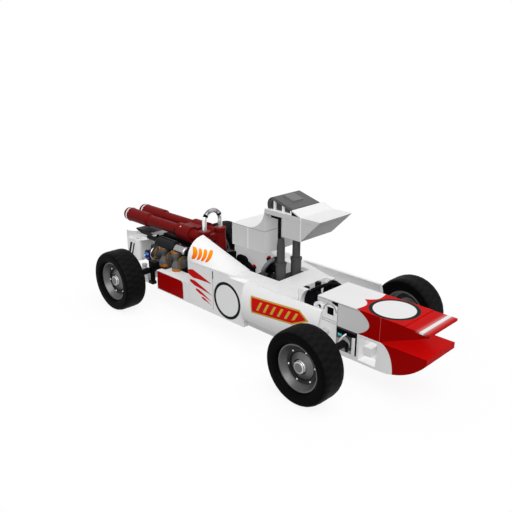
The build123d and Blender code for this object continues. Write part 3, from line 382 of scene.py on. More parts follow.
def nose_paint(tree, x, y, z):
    """Red nose: white lobes run forward on the top and an arc on each side; blank roundel, lip stripe."""
    lobe = abs(y) / HOOD_LOBE_Y
    rise = lobe.from_one().larger(0.0).squared()
    fall = (lobe - 1).larger(0.0).squared()
    top_edge = rise * (HOOD_CUSP_X - HOOD_LOBE_X) - fall * HOOD_LOBE_FALL + HOOD_LOBE_X
    side_edge = ((z - HOOD_SIDE_Z) / HOOD_SIDE_RISE).squared() * -HOOD_SIDE_FALL + HOOD_SIDE_X
    on_side = on_body_side(y)
    edge = top_edge + (side_edge - top_edge) * on_side
    red = (x - edge).above(0.0)
    face, ring = roundel(tree, x - ROUNDEL_X, y, ROUNDEL_FACE_R, ROUNDEL_RING_R)
    top = z.above(NOSE_TOP_Z, CRISP)
    on_lip = z.above(STRIPE_FOOT_Z, soft=0.2)
    from_stripe = abs(x - STRIPE_X)
    stripe = from_stripe.below(STRIPE_HALF, soft=0.5) * on_lip
    fade = (from_stripe / STRIPE_GLOW).from_one().larger(0.0).squared() * on_lip * STRIPE_GLOW_SHARE
    seam = x.line(NOSE_SEAM_X) * on_side
    rear_seam = x.line(HOOD_REAR_X) * on_side
    gap = outside_of(HOOD_GAP, x, z).below(0.0) * on_side
    tile_seam = z.line(HOOD_TILE_Z, half=0.2) * on_side * x.below(HOOD_TILE_SEAM_END_X)
    # painted shade: the sides are greyer, and a darker red where they are red
    return [(on_side, SIDE_SHADE_GREY), (tile_seam, SEAM_GREY), (red, RED), (red * on_side, SHADED_SIDE_RED),
            (ring * top, RING_INK), (face * top, WHITE), (fade, WHITE), (stripe, WHITE), (seam, SEAM_PINK),
            (rear_seam, SEAM_GREY), (gap, INK)]


LOWER_WHITE_REACH = 10.3    # white quarter ellipse on the lower nose's sides, ahead of the seam
LOWER_WHITE_RISE = 18.4
LOWER_WHITE_FOOT_Z = 14.0


def lower_nose_paint(tree, x, y, z):
    """Red lower nose whose sides, a darker red as painted shade, start white, up to a quarter ellipse."""
    bow = ((z - LOWER_WHITE_FOOT_Z) / LOWER_WHITE_RISE).squared().from_one().larger(0.0).root()
    edge = bow * LOWER_WHITE_REACH + NOSE_SEAM_X
    on_side = on_body_side(y)
    return [(on_side, SHADED_SIDE_RED), ((edge - x).above(0.0) * on_side, WHITE)]


SIDE_ROUNDEL = (2.8, 28.0)  # x and z
SIDE_FACE_R = 11.7
SIDE_RING_R = 13.9
OUTER_Y = 20.0              # faces beyond this look outward
WALL_OUTER_Y = 31.9
WALL_SEAM_X = -12.0
WALL_NOTCH_HALF = 0.5
WALL_NOTCH_Z = 40.5
FLASHES = (  # x and z of the blunt end, length, width, drop and bow of each red flash
    (-40.0, 39.0, 27.0, 8.4, 3.0, 0.4),
    (-38.0, 32.4, 25.5, 5.2, 5.5, 0.5),
    (-31.5, 27.0, 18.5, 3.6, 5.5, 0.5),
    (-25.0, 22.4, 11.5, 2.6, 3.5, 0.4),
)
FLASH_BLUNT = 0.35          # share of its width that a flash has at its blunt end
FLASH_FILL = 3.0            # how fast it fills out from there
FLASH_END = 0.02            # soft share of its length at each end


def side_ring(tree, x, y, z):
    """Ring of the side walls' blank roundel, on outward faces only."""
    ring = roundel(tree, x - SIDE_ROUNDEL[0], z - SIDE_ROUNDEL[1], SIDE_FACE_R, SIDE_RING_R)[1]
    return ring * abs(y).above(OUTER_Y, SHARP)


def floor_paint(tree, x, y, z):
    """Lowest part of the side roundels' rings."""
    return [(side_ring(tree, x, y, z), INK)]


def side_wall_paint(tree, x, y, z):
    """Blank roundel with a black ring, red flashes that taper forward and the seam with its notch."""
    outside = abs(y).above(WALL_OUTER_Y, SHARP)
    layers = []
    for start_x, start_z, length, width, drop, bow in FLASHES:
        along = (x - start_x) / length
        ahead = along.from_one()
        middle = along * -drop + start_z + ahead * along * bow * 4
        half = ahead * (along * FLASH_FILL + FLASH_BLUNT).smaller(1.0) * width / 2
        flash = (abs(z - middle) - half).below(0.0) * along.between(0.0, 1.0, FLASH_END)
        layers.append((flash * outside, RED))
    seam = x.line(WALL_SEAM_X) * outside
    notch = x.line(WALL_SEAM_X, WALL_NOTCH_HALF) * z.above(WALL_NOTCH_Z) * outside
    return layers + [(seam, SEAM_GREY), (notch, INK), (side_ring(tree, x, y, z), INK)]


ORANGE_BARS = (  # x of the bow's front, half width and half height of each bar
    (-33.2, 2.3, 4.0),
    (-28.4, 1.65, 3.6),
    (-24.2, 1.65, 3.6),
    (-20.1, 1.65, 3.5),
)
BAR_BOW = 0.15              # how fast a bar falls back above and below the bow's front
BAR_BOW_Z = 53.0
BAR_MIDDLE_Z = 54.0
BAR_END_POWER = 0.22        # the lower, the squarer the bars' ends
BAR_INSET = 0.05
DEEP_BELOW_Z = 57.0         # the bars deepen from here down
DEEP_OVER = 6.0
FAIRING_OUTER_Y = 19.0


def fairing_paint(tree, x, y, z):
    """Four bowed orange bars on the rounded outer face of each fairing, deeper orange towards their feet."""
    deep = (z - DEEP_BELOW_Z).math("MULTIPLY_ADD", -1 / DEEP_OVER, 0.0, clamp=True)
    outward = abs(y).above(FAIRING_OUTER_Y, CRISP)
    layers = []
    for front_x, half, tall in ORANGE_BARS:
        bow = (z - BAR_BOW_Z).squared() * -BAR_BOW + front_x
        round_ends = ((z - BAR_MIDDLE_Z) / tall).squared().from_one().larger(0.0)
        taper = round_ends.math("POWER", BAR_END_POWER)
        bar = (abs(x - bow) - taper * half).below(-BAR_INSET) * outward
        layers += [(bar, ORANGE), (bar * deep, DEEP_ORANGE)]
    return layers


BANNER = [(29.5, 41.0), (31.5, 29.6), (68.0, 33.0), (81.0, 39.0), (72.0, 43.6)]     # (x, z) corners
BANNER_EDGING = 1.0
BANNER_LEAN = 0.45          # forward run of a slanted bar for each millimetre of its rise
BANNER_MIDDLE_Z = 37.0
BANNER_BAR_X = 38.0
BANNER_BAR_PITCH = 6.0
BANNER_BAR_WIDTH = 2.0
BANNER_BAR_INSET = 2.6
BANNER_BARS_FROM_TO = (37.0, 70.0)
POD_OUTER_Y = 30.0


def pod_paint(tree, x, y, z):
    """Plain red banner with gold edging and slanted gold bars, on the pods' outer faces."""
    reach = outside_of(BANNER, x, z)
    outside = abs(y).above(POD_OUTER_Y, soft=0.2) * (y * facing(tree)[1]).above(0.0, soft=0.5)
    lean = x - (z - BANNER_MIDDLE_Z) * BANNER_LEAN
    pitch = (lean - BANNER_BAR_X).math("FLOORED_MODULO", BANNER_BAR_PITCH)
    bars = pitch.below(BANNER_BAR_WIDTH) * reach.below(-BANNER_BAR_INSET) * lean.between(*BANNER_BARS_FROM_TO)
    return [(reach.below(0.0) * outside, GOLD), (reach.below(-BANNER_EDGING) * outside, RED),
            (bars * outside, GOLD)]


LEFT_TIP_Z = 52.9
RIGHT_TIP_Z = 48.3


def lever_paint(tree, x, y, z):
    """Red tips on the levers: the taller one at the left, the shorter at the right."""
    tip = z.above(LEFT_TIP_Z).larger(z.above(RIGHT_TIP_Z) * y.below(0.0))
    return [(tip, RED)]


TAIL_BARS = ((-141.2, -138.2), (-136.6, -134.6))        # x from and to, at the bars' middle height
TAIL_BAR_LEAN = 0.35
TAIL_BAR_MIDDLE_Z = 30.0
TAIL_BAR_RISE = (23.0, 35.6)
TAIL_OUTER_Y = 15.5


def tail_paint(tree, x, y, z):
    """Two plain black bars that lean forward on each side of the tail box."""
    lean = x - (z - TAIL_BAR_MIDDLE_Z) * TAIL_BAR_LEAN
    rear_bar, front_bar = (lean.between(*bar) for bar in TAIL_BARS)
    bars = rear_bar.larger(front_bar)
    return [(bars * z.between(*TAIL_BAR_RISE) * abs(y).above(TAIL_OUTER_Y, CRISP), INK)]


COWL_SIDE_Y = 15.8
COWL_UNDER = -0.25          # faces that look down more than this are the underside
COWL_REAR_SEAM_X = 8.0
COWL_FRONT_SEAM_X = 56.0
COWL_HIGHLIGHT_HALF = 0.35
COWL_SEAM_HALF = 0.2
COWL_BLOCK_X = 24.0         # front of the rear block, and the level of its seam
COWL_BLOCK_Z = 80.2
COWL_BLOCK_REACH = 0.2
COWL_DECK_Z = 96.6
COWL_GAP_X = (47.5, 54.4)   # dark gap under the roof's front edge
COWL_GAP_FOOT_Z = 96.45
ROOF_EDGE_X = 48.0
ROOF_EDGE_Z = 99.0
ROOF_EDGE_SLOPE = -0.425


def cowl_paint(tree, x, y, z):
    """Sides and underside painted darker as shade, thin seams between the cowl's bricks and the gap under the
    roof's front.
    """
    on_side = abs(y).above(COWL_SIDE_Y, CRISP)
    under = facing(tree)[2].below(COWL_UNDER, soft=0.1)
    # painted highlight: the upright seams are white, as lit brick edges
    rear_seam_highlight = x.line(COWL_REAR_SEAM_X, COWL_HIGHLIGHT_HALF)
    front_seam_highlight = x.line(COWL_FRONT_SEAM_X, COWL_HIGHLIGHT_HALF)
    seam_highlight = rear_seam_highlight.larger(front_seam_highlight) * on_side
    block_face = on_side.larger(x.above(COWL_BLOCK_X - COWL_BLOCK_REACH, CRISP))
    block_seam = z.line(COWL_BLOCK_Z, COWL_SEAM_HALF) * x.below(COWL_BLOCK_X + COWL_BLOCK_REACH) * block_face
    deck_seam = x.line(COWL_FRONT_SEAM_X, COWL_SEAM_HALF) * z.above(COWL_DECK_Z) * abs(y).below(COWL_SIDE_Y)
    roof_edge = (x - ROOF_EDGE_X) * ROOF_EDGE_SLOPE + ROOF_EDGE_Z
    gap = on_side * x.between(*COWL_GAP_X) * z.above(COWL_GAP_FOOT_Z) * (roof_edge - z).above(0.0)
    return [(on_side, SIDE_SHADE_GREY), (under, SHADED), (gap, INK), (seam_highlight, SEAM_HIGHLIGHT_WHITE),
            (block_seam.larger(deck_seam), SEAM_GREY)]


HATCH_X = (30.9, 40.1)
HATCH_HALF_Y = 5.1
HATCH_Z = 95.0
ROOF_SHADE_X = 27.5


def roof_paint(tree, x, y, z):
    """Rounded rear end painted dark as shade, and a paler hatch on the roof."""
    hatch = x.between(*HATCH_X) * abs(y).below(HATCH_HALF_Y) * z.above(HATCH_Z, soft=0.5)
    return [(x.below(ROOF_SHADE_X, soft=3.0), DARK_GREY), (hatch, HATCH_GREY)]


RIM_BANDS = (  # radius that each colour fills, over the last
    (11.7, RIM_WEB_SHADE), (8.9, BLACK), (8.5, RIM_GREY), (4.9, BLACK), (4.1, SILVER))
RIM_LIP_R = 14.9
CAP_SHADE_R = 3.1


def rim_paint(tree, x, y, z):
    """Wheel dish by radius: grey bowl, web painted dark for its holes and as shade deep in the dish, black
    groove, grey cone, silver hub and black lip.
    """
    reach = wheel_reach(x, z)
    return [(reach.below(radius), colour) for radius, colour in RIM_BANDS] + [(reach.above(RIM_LIP_R), BLACK)]


def cap_paint(tree, x, y, z):
    """Hub caps with a face painted darker inside a bright edge, as painted reflection; the studs are bright.
    """
    return [(wheel_reach(x, z).below(CAP_SHADE_R, soft=0.8), CAP_FACE_SHADE)]


TREAD_PITCHES = 30          # blocks round the tyre
TREAD_STAGGER = 0.5         # pitches from one row of blocks to the next
TREAD_MIDDLE_Y = 47.0
TREAD_ROW_WIDTH = 6.0
TREAD_INNER_R = 22.6
TREAD_PATCH_SHARE = 0.55           # share of a pitch that is a little paler


def tyre_paint(tree, x, y, z):
    """Sidewalls deeper black than the tread, and staggered patches of the tread a little paler."""
    turn = (z - AXLE_Z).math("ARCTAN2", abs(x) - AXLE_X) * (TREAD_PITCHES / (2 * pi))
    row = ((abs(y) - TREAD_MIDDLE_Y) / TREAD_ROW_WIDTH).math("FLOOR")
    tread_patch = (turn + row * TREAD_STAGGER).math("FLOORED_MODULO", 1.0).below(TREAD_PATCH_SHARE, soft=0.1)
    tread = wheel_reach(x, z).above(TREAD_INNER_R, soft=0.8)
    return [(tread, TREAD_BLACK), (tread * tread_patch, TREAD_PATCH)]


STEERING_HIGHLIGHT_SPLIT_Y = -1.5
POST_SHADE_X = 31.0
HOOP_BOW_SHADE_Z = 76.3
HOOP_HIGHLIGHT_HALF = 3.0
HOOP_HIGHLIGHT_Z = 70.0
FIN_HIGHLIGHT_X = -116.0
FIN_HIGHLIGHT_Z = 46.8


def steering_paint(tree, x, y, z):
    """Steering rim painted grey on its right as a highlight and black on its left."""
    return [(y.above(STEERING_HIGHLIGHT_SPLIT_Y, soft=1.5), BLACK)]


def post_paint(tree, x, y, z):
    """Posts: black along their rear, as painted shade."""
    return [(x.below(POST_SHADE_X, soft=2.4), BLACK)]


def hoop_paint(tree, x, y, z):
    """Chrome with painted reflection: the bow darker than the legs, and a paler crown as a painted highlight.
    """
    crown_highlight = abs(y).below(HOOP_HIGHLIGHT_HALF, soft=3.0) * z.above(HOOP_HIGHLIGHT_Z)
    return [(z.above(HOOP_BOW_SHADE_Z, soft=1.5), HOOP_SHADE), (crown_highlight, HOOP_CROWN_HIGHLIGHT)]


def fin_paint(tree, x, y, z):
    """Black fin with a painted highlight on its front end."""
    return [(x.above(FIN_HIGHLIGHT_X, soft=2.5) * z.above(FIN_HIGHLIGHT_Z, soft=0.2), FIN_HIGHLIGHT)]


CYLINDER_PITCH = 16.0
DISC_X = -96.0              # middle of one disc's rim
DISC_HALF = 1.15
FEED_FRONT_X = -95.0
STRUT_REAR_X = -93.5
MANIFOLD_OUTER_Y = 11.0
MANIFOLD_SLOT_X = (-79.6, -77.4)
MANIFOLD_SLOT_Z = (54.6, 60.4)
MANIFOLD_SCREW = (-73.2, 62.6)      # x and z
MANIFOLD_SCREW_R = 0.6


def disc_paint(tree, x, y, z):
    """Brown rims on the engine's discs, one at each cylinder's pitch; the cones ahead of them are grey."""
    pitch = (x - (DISC_X - CYLINDER_PITCH / 2)).math("FLOORED_MODULO", CYLINDER_PITCH)
    from_rim = abs(pitch - CYLINDER_PITCH / 2)
    return [(from_rim.above(DISC_HALF), DARK_GREY)]


def head_paint(tree, x, y, z):
    """Black feed pipes behind the cylinder heads."""
    return [(x.below(FEED_FRONT_X), BLACK)]


def upright_paint(tree, x, y, z):
    """Silver dampers behind black struts."""
    return [(x.above(STRUT_REAR_X), BLACK)]


def manifold_paint(tree, x, y, z):
    """Dark slot and a bright screw head on the manifold's outer sides."""
    outer = abs(y).above(MANIFOLD_OUTER_Y, CRISP)
    slot = x.between(*MANIFOLD_SLOT_X) * z.between(*MANIFOLD_SLOT_Z)
    screw = distance(x - MANIFOLD_SCREW[0], z - MANIFOLD_SCREW[1]).below(MANIFOLD_SCREW_R)
    return [(slot * outer, BLACK), (screw * outer, SILVER)]


CARRIER_OVAL = (96.4, 20.2, 2.1, 3.5)       # x and z of the middle, half length and half height
BOSS_OVAL = (98.2, 22.3, 1.9, 3.0)
BOSS_Y = BODY_Y + 2.0
LIGHT_X = 91.1              # middle of the pair of lights
LIGHT_HALF_PITCH = 0.95
LIGHT_Z = 27.2
LIGHT_R = 0.85
DOT_Z = 25.6
DOT_R = 0.4
CARRIER_UPPER_Z = 24.6
CARRIER_GAP_X = 102.8


def oval(x, z, middle_x, middle_z, half_length, half_height, soft):
    """1 inside an oval; its edge is soft wide as a share of its size."""
    return distance((x - middle_x) / half_length, (z - middle_z) / half_height).below(1.0, soft)


def carrier_paint(tree, x, y, z):
    """Carrier sides: grey panel with an oval opening, two cyan lights over red dots and a dark gap."""
    on_side = abs(y).between(BODY_Y - 0.2, BODY_Y + 0.3, CRISP)
    boss = abs(y).above(BOSS_Y, CRISP)
    opening = oval(x, z, *CARRIER_OVAL, soft=0.1)
    boss_opening = oval(x, z, *BOSS_OVAL, soft=0.15)
    from_light = abs(x - LIGHT_X) - LIGHT_HALF_PITCH
    lights = distance(from_light, z - LIGHT_Z).below(LIGHT_R)
    red_dots = distance(from_light, z - DOT_Z).below(DOT_R)
    upper = z.above(CARRIER_UPPER_Z, soft=0.3)
    gap = x.above(CARRIER_GAP_X)
    return [(on_side.larger(boss), PANEL_GREY), (opening * on_side, INK), (boss_opening * boss, INK),
            (upper * on_side, DARK_GREY), (gap * on_side, INK), (lights * on_side, CYAN),
            (red_dots * on_side, RED)]


HINGE_X = 82.3              # middle of the hinge's arch
HINGE_Z = 40.4
HINGE_OUTER_Y = 15.0
HINGE_HOLLOW_R = (4.5, 5.4)
HINGE_RIBS_Z = (31.9, 33.2, 34.6)
HINGE_RIB_HALF = 0.2
HINGE_RIBS_X = (75.7, 88.6)
BARREL = (73.6, 41.2)       # x and z
BARREL_R = 1.3
BARREL_OUTER_Y = 14.0


def hinge_paint(tree, x, y, z):
    """Shaded hollow round the arch, a dark barrel and fine ribs along the foot of the hinge beams."""
    outer = abs(y).above(HINGE_OUTER_Y, CRISP)
    low, middle, high = (z.line(level, HINGE_RIB_HALF) for level in HINGE_RIBS_Z)
    ribs = low.larger(middle).larger(high) * x.between(*HINGE_RIBS_X)
    hollow = distance(x - HINGE_X, z - HINGE_Z).between(*HINGE_HOLLOW_R) * z.above(HINGE_Z)
    barrel = distance(x - BARREL[0], z - BARREL[1]).below(BARREL_R) * abs(y).above(BARREL_OUTER_Y, CRISP)
    return [(hollow * outer, SHADED), (barrel, INK), (ribs * outer, SEAM_GREY)]


LAMP_X = -113.5
LAMP_GLINT_Z = 30.4
LAMP_GLINT_R = 1.1
LAMP_FACE_Y = 18.0


def lens_paint(tree, x, y, z):
    """Painted cyan glint in the middle of the blue lamps."""
    glint = distance(x - LAMP_X, z - LAMP_GLINT_Z).below(LAMP_GLINT_R, soft=0.8)
    return [(glint * abs(y).above(LAMP_FACE_Y, soft=0.3), CYAN)]


# Finishes

white_plastic = finish("white_plastic", WHITE, 0.30, edge=0.5)
floor_finish = finish("printed_floor_plate", WHITE, 0.30, floor_paint, edge=0.5)
nose_finish = finish("painted_hood", WHITE, 0.30, nose_paint, specular=0.015)
lower_nose_finish = finish("painted_lower_nose", RED, 0.30, lower_nose_paint, specular=0.015)
post_finish = finish("dark_grey_posts", POST_GREY, 0.40, post_paint)
side_wall_finish = finish("printed_side_wall", WHITE, 0.30, side_wall_paint, edge=0.5)
fairing_finish = finish("printed_fairing", WHITE, 0.30, fairing_paint, edge=0.5)
pod_finish = finish("printed_pod", WHITE, 0.28, pod_paint)
tail_finish = finish("printed_tail_box", WHITE, 0.30, tail_paint, edge=0.5)
cowl_finish = finish("seamed_cowl", WHITE, 0.30, cowl_paint, edge=0.5)
hinge_finish = finish("ribbed_hinge_white", WHITE, 0.30, hinge_paint)
pin_finish = finish("pale_grey_pins", PIN_GREY, 0.34)
# the side panels take the darker red that is painted shade on the body's sides
red_plastic = finish("red_plastic", SHADED_SIDE_RED, 0.30, specular=0.02)
dark_red_plastic = finish("dark_red_plastic", DARK_RED, 0.36, specular=0.03)
manifold_finish = finish("dark_red_manifold", DARK_RED, 0.36, manifold_paint, specular=0.03)
dark_grey_plastic = finish("dark_grey_plastic", DARK_GREY, 0.36)
cylinder_grey = finish("cylinder_grey", CYLINDER_GREY, 0.36)
roof_finish = finish("grey_roof", ROOF_GREY, 0.36, roof_paint)
carrier_finish = finish("carrier_grey", DARK_GREY, 0.36, carrier_paint)
black_plastic = finish("black_plastic", BLACK, 0.34, specular=0.025)
head_finish = finish("dark_heads_black_feeds", HEAD_BLACK, 0.28, head_paint, specular=0.06)
lever_finish = finish("black_levers_red_tips", BLACK, 0.34, lever_paint, specular=0.025)
upright_finish = finish("silver_dampers_black_struts", SILVER, 0.28, upright_paint, metallic=0.4)
copper_plastic = finish("copper_plastic", COPPER, 0.34, metallic=0.35)
disc_finish = finish("brown_rimmed_discs", BROWN, 0.34, disc_paint)
chrome = finish("chromed_plastic", CHROME, 0.12, metallic=1.0, grain=0.02)
hoop_chrome = finish("chromed_hoop", HOOP_CHROME, 0.12, hoop_paint, metallic=0.75, grain=0.02)
cap_metal = finish("polished_head_caps", HEAD_CAP_METAL, 0.22, metallic=1.0, grain=0.02)
fin_finish = finish("black_fin_painted_highlight", BLACK, 0.25, fin_paint)
silver_metal = finish("bright_hub_metal", SILVER, 0.22, cap_paint, metallic=0.8, grain=0.02)
steering_highlighted = finish("steering_rim_painted_highlight", STEERING_HIGHLIGHT_GREY, 0.32, steering_paint, specular=0.05)
rim_metal = finish("dark_rim_metal", RIM_GREY, 0.32, rim_paint, metallic=0.45, grain=0.0, edge=0.2)
lens_blue = finish("blue_lens", LENS_BLUE, 0.08, lens_paint, coat=1.0, grain=0.0)
axle_black = finish("axle_grey", AXLE_BLACK, 0.4, specular=0.04)
rubber = finish("tyre_rubber", SIDEWALL_BLACK, 0.5, tyre_paint, drift=0.1, grain=0.1, edge=0.15,
                specular=0.02)

DRESS = (  # finish, nodes that take it
    (white_plastic, ("tub_walls", "deck_tile", "nose_bracket", "side_boxes", "cowl_pillars")),
    (pin_finish, ("pod_pins",)),
    (floor_finish, ("floor_plate",)),
    (hinge_finish, ("hinge_beams",)),
    (cowl_finish, ("cowl_rear", "cowl_deck", "cowl_walls")),
    (nose_finish, ("hood_tile", "hood_block", "nose_wedge")),
    (lower_nose_finish, ("nose_lower",)),
    (side_wall_finish, ("side_walls",)),
    (fairing_finish, ("fairings",)),
    (pod_finish, ("pods",)),
    (tail_finish, ("rear_cowl",)),
    (red_plastic, ("side_panels",)),
    (dark_red_plastic, ("hoop_cups",)),
    (manifold_finish, ("exhaust_pipes", "manifold")),
    (dark_grey_plastic, ("rear_frame",)),
    (post_finish, ("post_bases", "post_rods")),
    (carrier_finish, ("front_carrier",)),
    (roof_finish, ("cowl_roof",)),
    (cylinder_grey, ("cylinders",)),
    (head_finish, ("heads",)),
    (black_plastic, ("dash_block", "linkage", "seat", "steering_column", "cowl_brackets", "engine_block")),
    (fin_finish, ("rear_fin",)),
    (lever_finish, ("levers",)),
    (steering_highlighted, ("steering_ring",)),
    (upright_finish, ("rear_uprights",)),
    (copper_plastic, ("cylinder_rings",)),
    (disc_finish, ("cylinder_discs",)),
    (chrome, ("exhaust_rings", "rear_bars")),
    (hoop_chrome, ("roll_hoop",)),
    (cap_metal, ("head_caps",)),
    (lens_blue, ("lenses",)),
    (rim_metal, [f"rim_{corner}" for corner in CORNERS]),
    (axle_black, [f"axle_{corner}" for corner in CORNERS]),
    (rubber, [f"tyre_{corner}" for corner in CORNERS]),
)
for material, names in DRESS:
    for name in names:
        mesh = nodes[name].data
        mesh.materials.clear()
        mesh.materials.append(material)


# Surfaces on a grid: each sheet is (points as rows x columns x 3 in millimetres, wrap_rows, wrap_columns)

MERGE_WITHIN = 0.001


def quads(rows, columns, wrap_rows, wrap_columns, start):
    """Corner numbers of the faces between neighbouring grid points, closed round where asked."""
    i = np.arange(rows if wrap_rows else rows - 1)
    j = np.arange(columns if wrap_columns else columns - 1)
    i, j = np.meshgrid(i, j, indexing="ij")
    near = i * columns + j
    right = i * columns + (j + 1) % columns
    far = (i + 1) % rows * columns + (j + 1) % columns
    left = (i + 1) % rows * columns + j
    return np.stack([near, right, far, left], -1).reshape(-1, 4) + start


def add_piece(name, sheets, body, material, smooth_angle=35.0):
    """One mesh from sheets, with doubled points merged and sharp edges kept, that rides on a body."""
    points, faces, start = [], [], 0
    for grid, wrap_rows, wrap_columns in sheets:
        rows, columns = grid.shape[:2]
        points.append(grid.reshape(-1, 3))
        faces.append(quads(rows, columns, wrap_rows, wrap_columns, start))
        start += rows * columns
    mesh = bpy.data.meshes.new(name)
    mesh.from_pydata(np.concatenate(points) * MM, [], np.concatenate(faces).tolist())
    shell = bmesh.new()
    shell.from_mesh(mesh)
    bmesh.ops.remove_doubles(shell, verts=shell.verts, dist=MERGE_WITHIN * MM)
    bmesh.ops.recalc_face_normals(shell, faces=shell.faces)
    shell.to_mesh(mesh)
    shell.free()
    mesh.shade_smooth()
    mesh.set_sharp_from_angle(angle=radians(smooth_angle))
    mesh.materials.append(material)
    piece = bpy.data.objects.new(name, mesh)
    bpy.context.scene.collection.objects.link(piece)
    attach(piece, body)
    return piece


def turned(profile, turns, centre, outward):
    """Profile of (radius, depth from the centre, outward) turned round an axis along Y."""
    angle = np.linspace(0, 2 * pi, turns, endpoint=False)[:, None]
    radius, depth = np.asarray(profile, float).T
    grid = np.stack([centre[0] + radius * np.cos(angle),
                     centre[1] + outward * depth + 0 * angle,
                     centre[2] + radius * np.sin(angle)], -1)
    return grid, True, False


def dome(radius, height, steps=10, squareness=2.0):
    """Quarter of a superellipse as the profile of a dome that stands on depth 0, closed by its flat foot."""
    sweep = np.linspace(0, pi / 2, steps)
    power = 2 / squareness
    edge = np.stack([radius * np.cos(sweep) ** power, height * np.sin(sweep) ** power], -1)
    edge[-1, 0] = 0.0
    return np.concatenate([[(0.0, 0.0)], edge])


def bent(value, squareness):
    """A sine or cosine raised to 2 / squareness with its sign kept, which squares a round shape up."""
    return np.sign(value) * np.abs(value) ** (2 / squareness)


def pebble(low, high, squareness=7.0, steps=28):
    """Superellipsoid that fills a box: a ball's sines and cosines bent, so edges and corners are rounded."""
    low, high = np.array(low, float), np.array(high, float)
    rise = np.linspace(-pi / 2, pi / 2, steps)[:, None]
    turn = np.linspace(0, 2 * pi, 2 * steps, endpoint=False)[None, :]
    girth = bent(np.cos(rise), squareness)
    ball = np.stack([girth * bent(np.cos(turn), squareness),
                     girth * bent(np.sin(turn), squareness),
                     bent(np.sin(rise), squareness) + 0 * turn], -1)
    ball[[0, -1], :, :2] = 0
    return (low + high) / 2 + (high - low) / 2 * ball, False, True


TUBE_SIDEWAYS = (0.31, 0.17, 0.93)      # no tube runs along this direction


def tube(path, radius, sides=16):
    """Round section carried along a path of points, with its ends closed at the path's own ends."""
    path = np.asarray(path, float)
    way = np.gradient(path, axis=0)
    way /= np.linalg.norm(way, axis=1, keepdims=True)
    across = np.cross(way, TUBE_SIDEWAYS)
    across /= np.linalg.norm(across, axis=1, keepdims=True)
    up = np.cross(across, way)
    closed = np.r_[0, np.arange(len(path)), len(path) - 1]
    path, across, up = path[closed], across[closed], up[closed]
    radius = np.full(len(path), float(radius))
    radius[[0, -1]] = 0.0
    turn = np.linspace(0, 2 * pi, sides, endpoint=False)[None, :, None]
    section = np.cos(turn) * across[:, None] + np.sin(turn) * up[:, None]
    return path[:, None] + radius[:, None, None] * section, False, True


def band(centre, axis, ring_radius, thickness, turns=40, sides=12):
    """Torus: a small circle carried round a larger one that faces along the axis ("x", "y" or "z")."""
    turn = np.linspace(0, 2 * pi, turns, endpoint=False)[:, None]
    lap = np.linspace(0, 2 * pi, sides, endpoint=False)[None, :]
    reach = ring_radius + thickness * np.cos(lap)
    ring = [reach * np.cos(turn), reach * np.sin(turn), thickness * np.sin(lap) + 0 * turn]
    order = {"x": (2, 0, 1), "y": (1, 2, 0), "z": (0, 1, 2)}[axis]
    return np.asarray(centre, float) + np.stack([ring[k] for k in order], -1), True, True


def both_sides(sheets):
    """The sheets and their mirror images across the car's centre plane."""
    return sheets + [(grid * (1, -1, 1), rows, columns) for grid, rows, columns in sheets]


# Wheels

TYRE_SQUARENESS = 4.4
TYRE_SECTION_STEPS = 72
TREAD_DEPTH = 0.14
TREAD_STEPS = 9             # grid steps in one pitch
TREAD_ROWS = 3              # rows of blocks across the tread
TREAD_FROM = 0.72           # share of the section's rise where the grooves start, and over which they deepen
TREAD_OVER = 0.1
CROSS_GROOVE = (0.10, 0.10)     # width and slope, in pitches
RING_GROOVE = (0.5, 0.5)        # width and slope, in millimetres
WALL_RIDGE_AT = 0.55            # share of the section's rise
WALL_RIDGE = (0.10, 0.08)       # width and slope, as shares of the rise
WALL_RIDGE_SHARE = 0.25         # share of the wall's inset that the ridge makes up
WALL_INSET = 0.012              # share of the half width
STUD_CIRCLE_R = 10.3
STUD_R = 0.75
STUD_HEIGHT = 0.7
STUD_COUNT = 6
STUD_TURNS = 14             # grid steps round
STUD_START = 0.2            # radians round the axle to the first stud
WEB_RING_DEPTH = 2.4        # raised ring of the web, outward of the tyre's middle
CAP_DEPTH = 4.6             # hub cap's foot, outward of the tyre's middle
CAP_R = 3.9
CAP_HEIGHT = 1.0
CAP_SQUARENESS = 4.5
CAP_TURNS = 40


def wheel_place(corner):
    """(middle, outward sign, radius, half width) of a wheel in millimetres, from its CAD tyre."""
    low, high = (np.array(point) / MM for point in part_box(f"tyre_{corner}"))
    middle = (low + high) / 2
    return middle, np.sign(middle[1]), (high[2] - low[2]) / 2, (high[1] - low[1]) / 2


def groove(offset, width, slope):
    """1 in a groove of that width about offset 0, falling to 0 over the slope at its edges."""
    return np.clip((width / 2 + slope - np.abs(offset)) / slope, 0, 1)


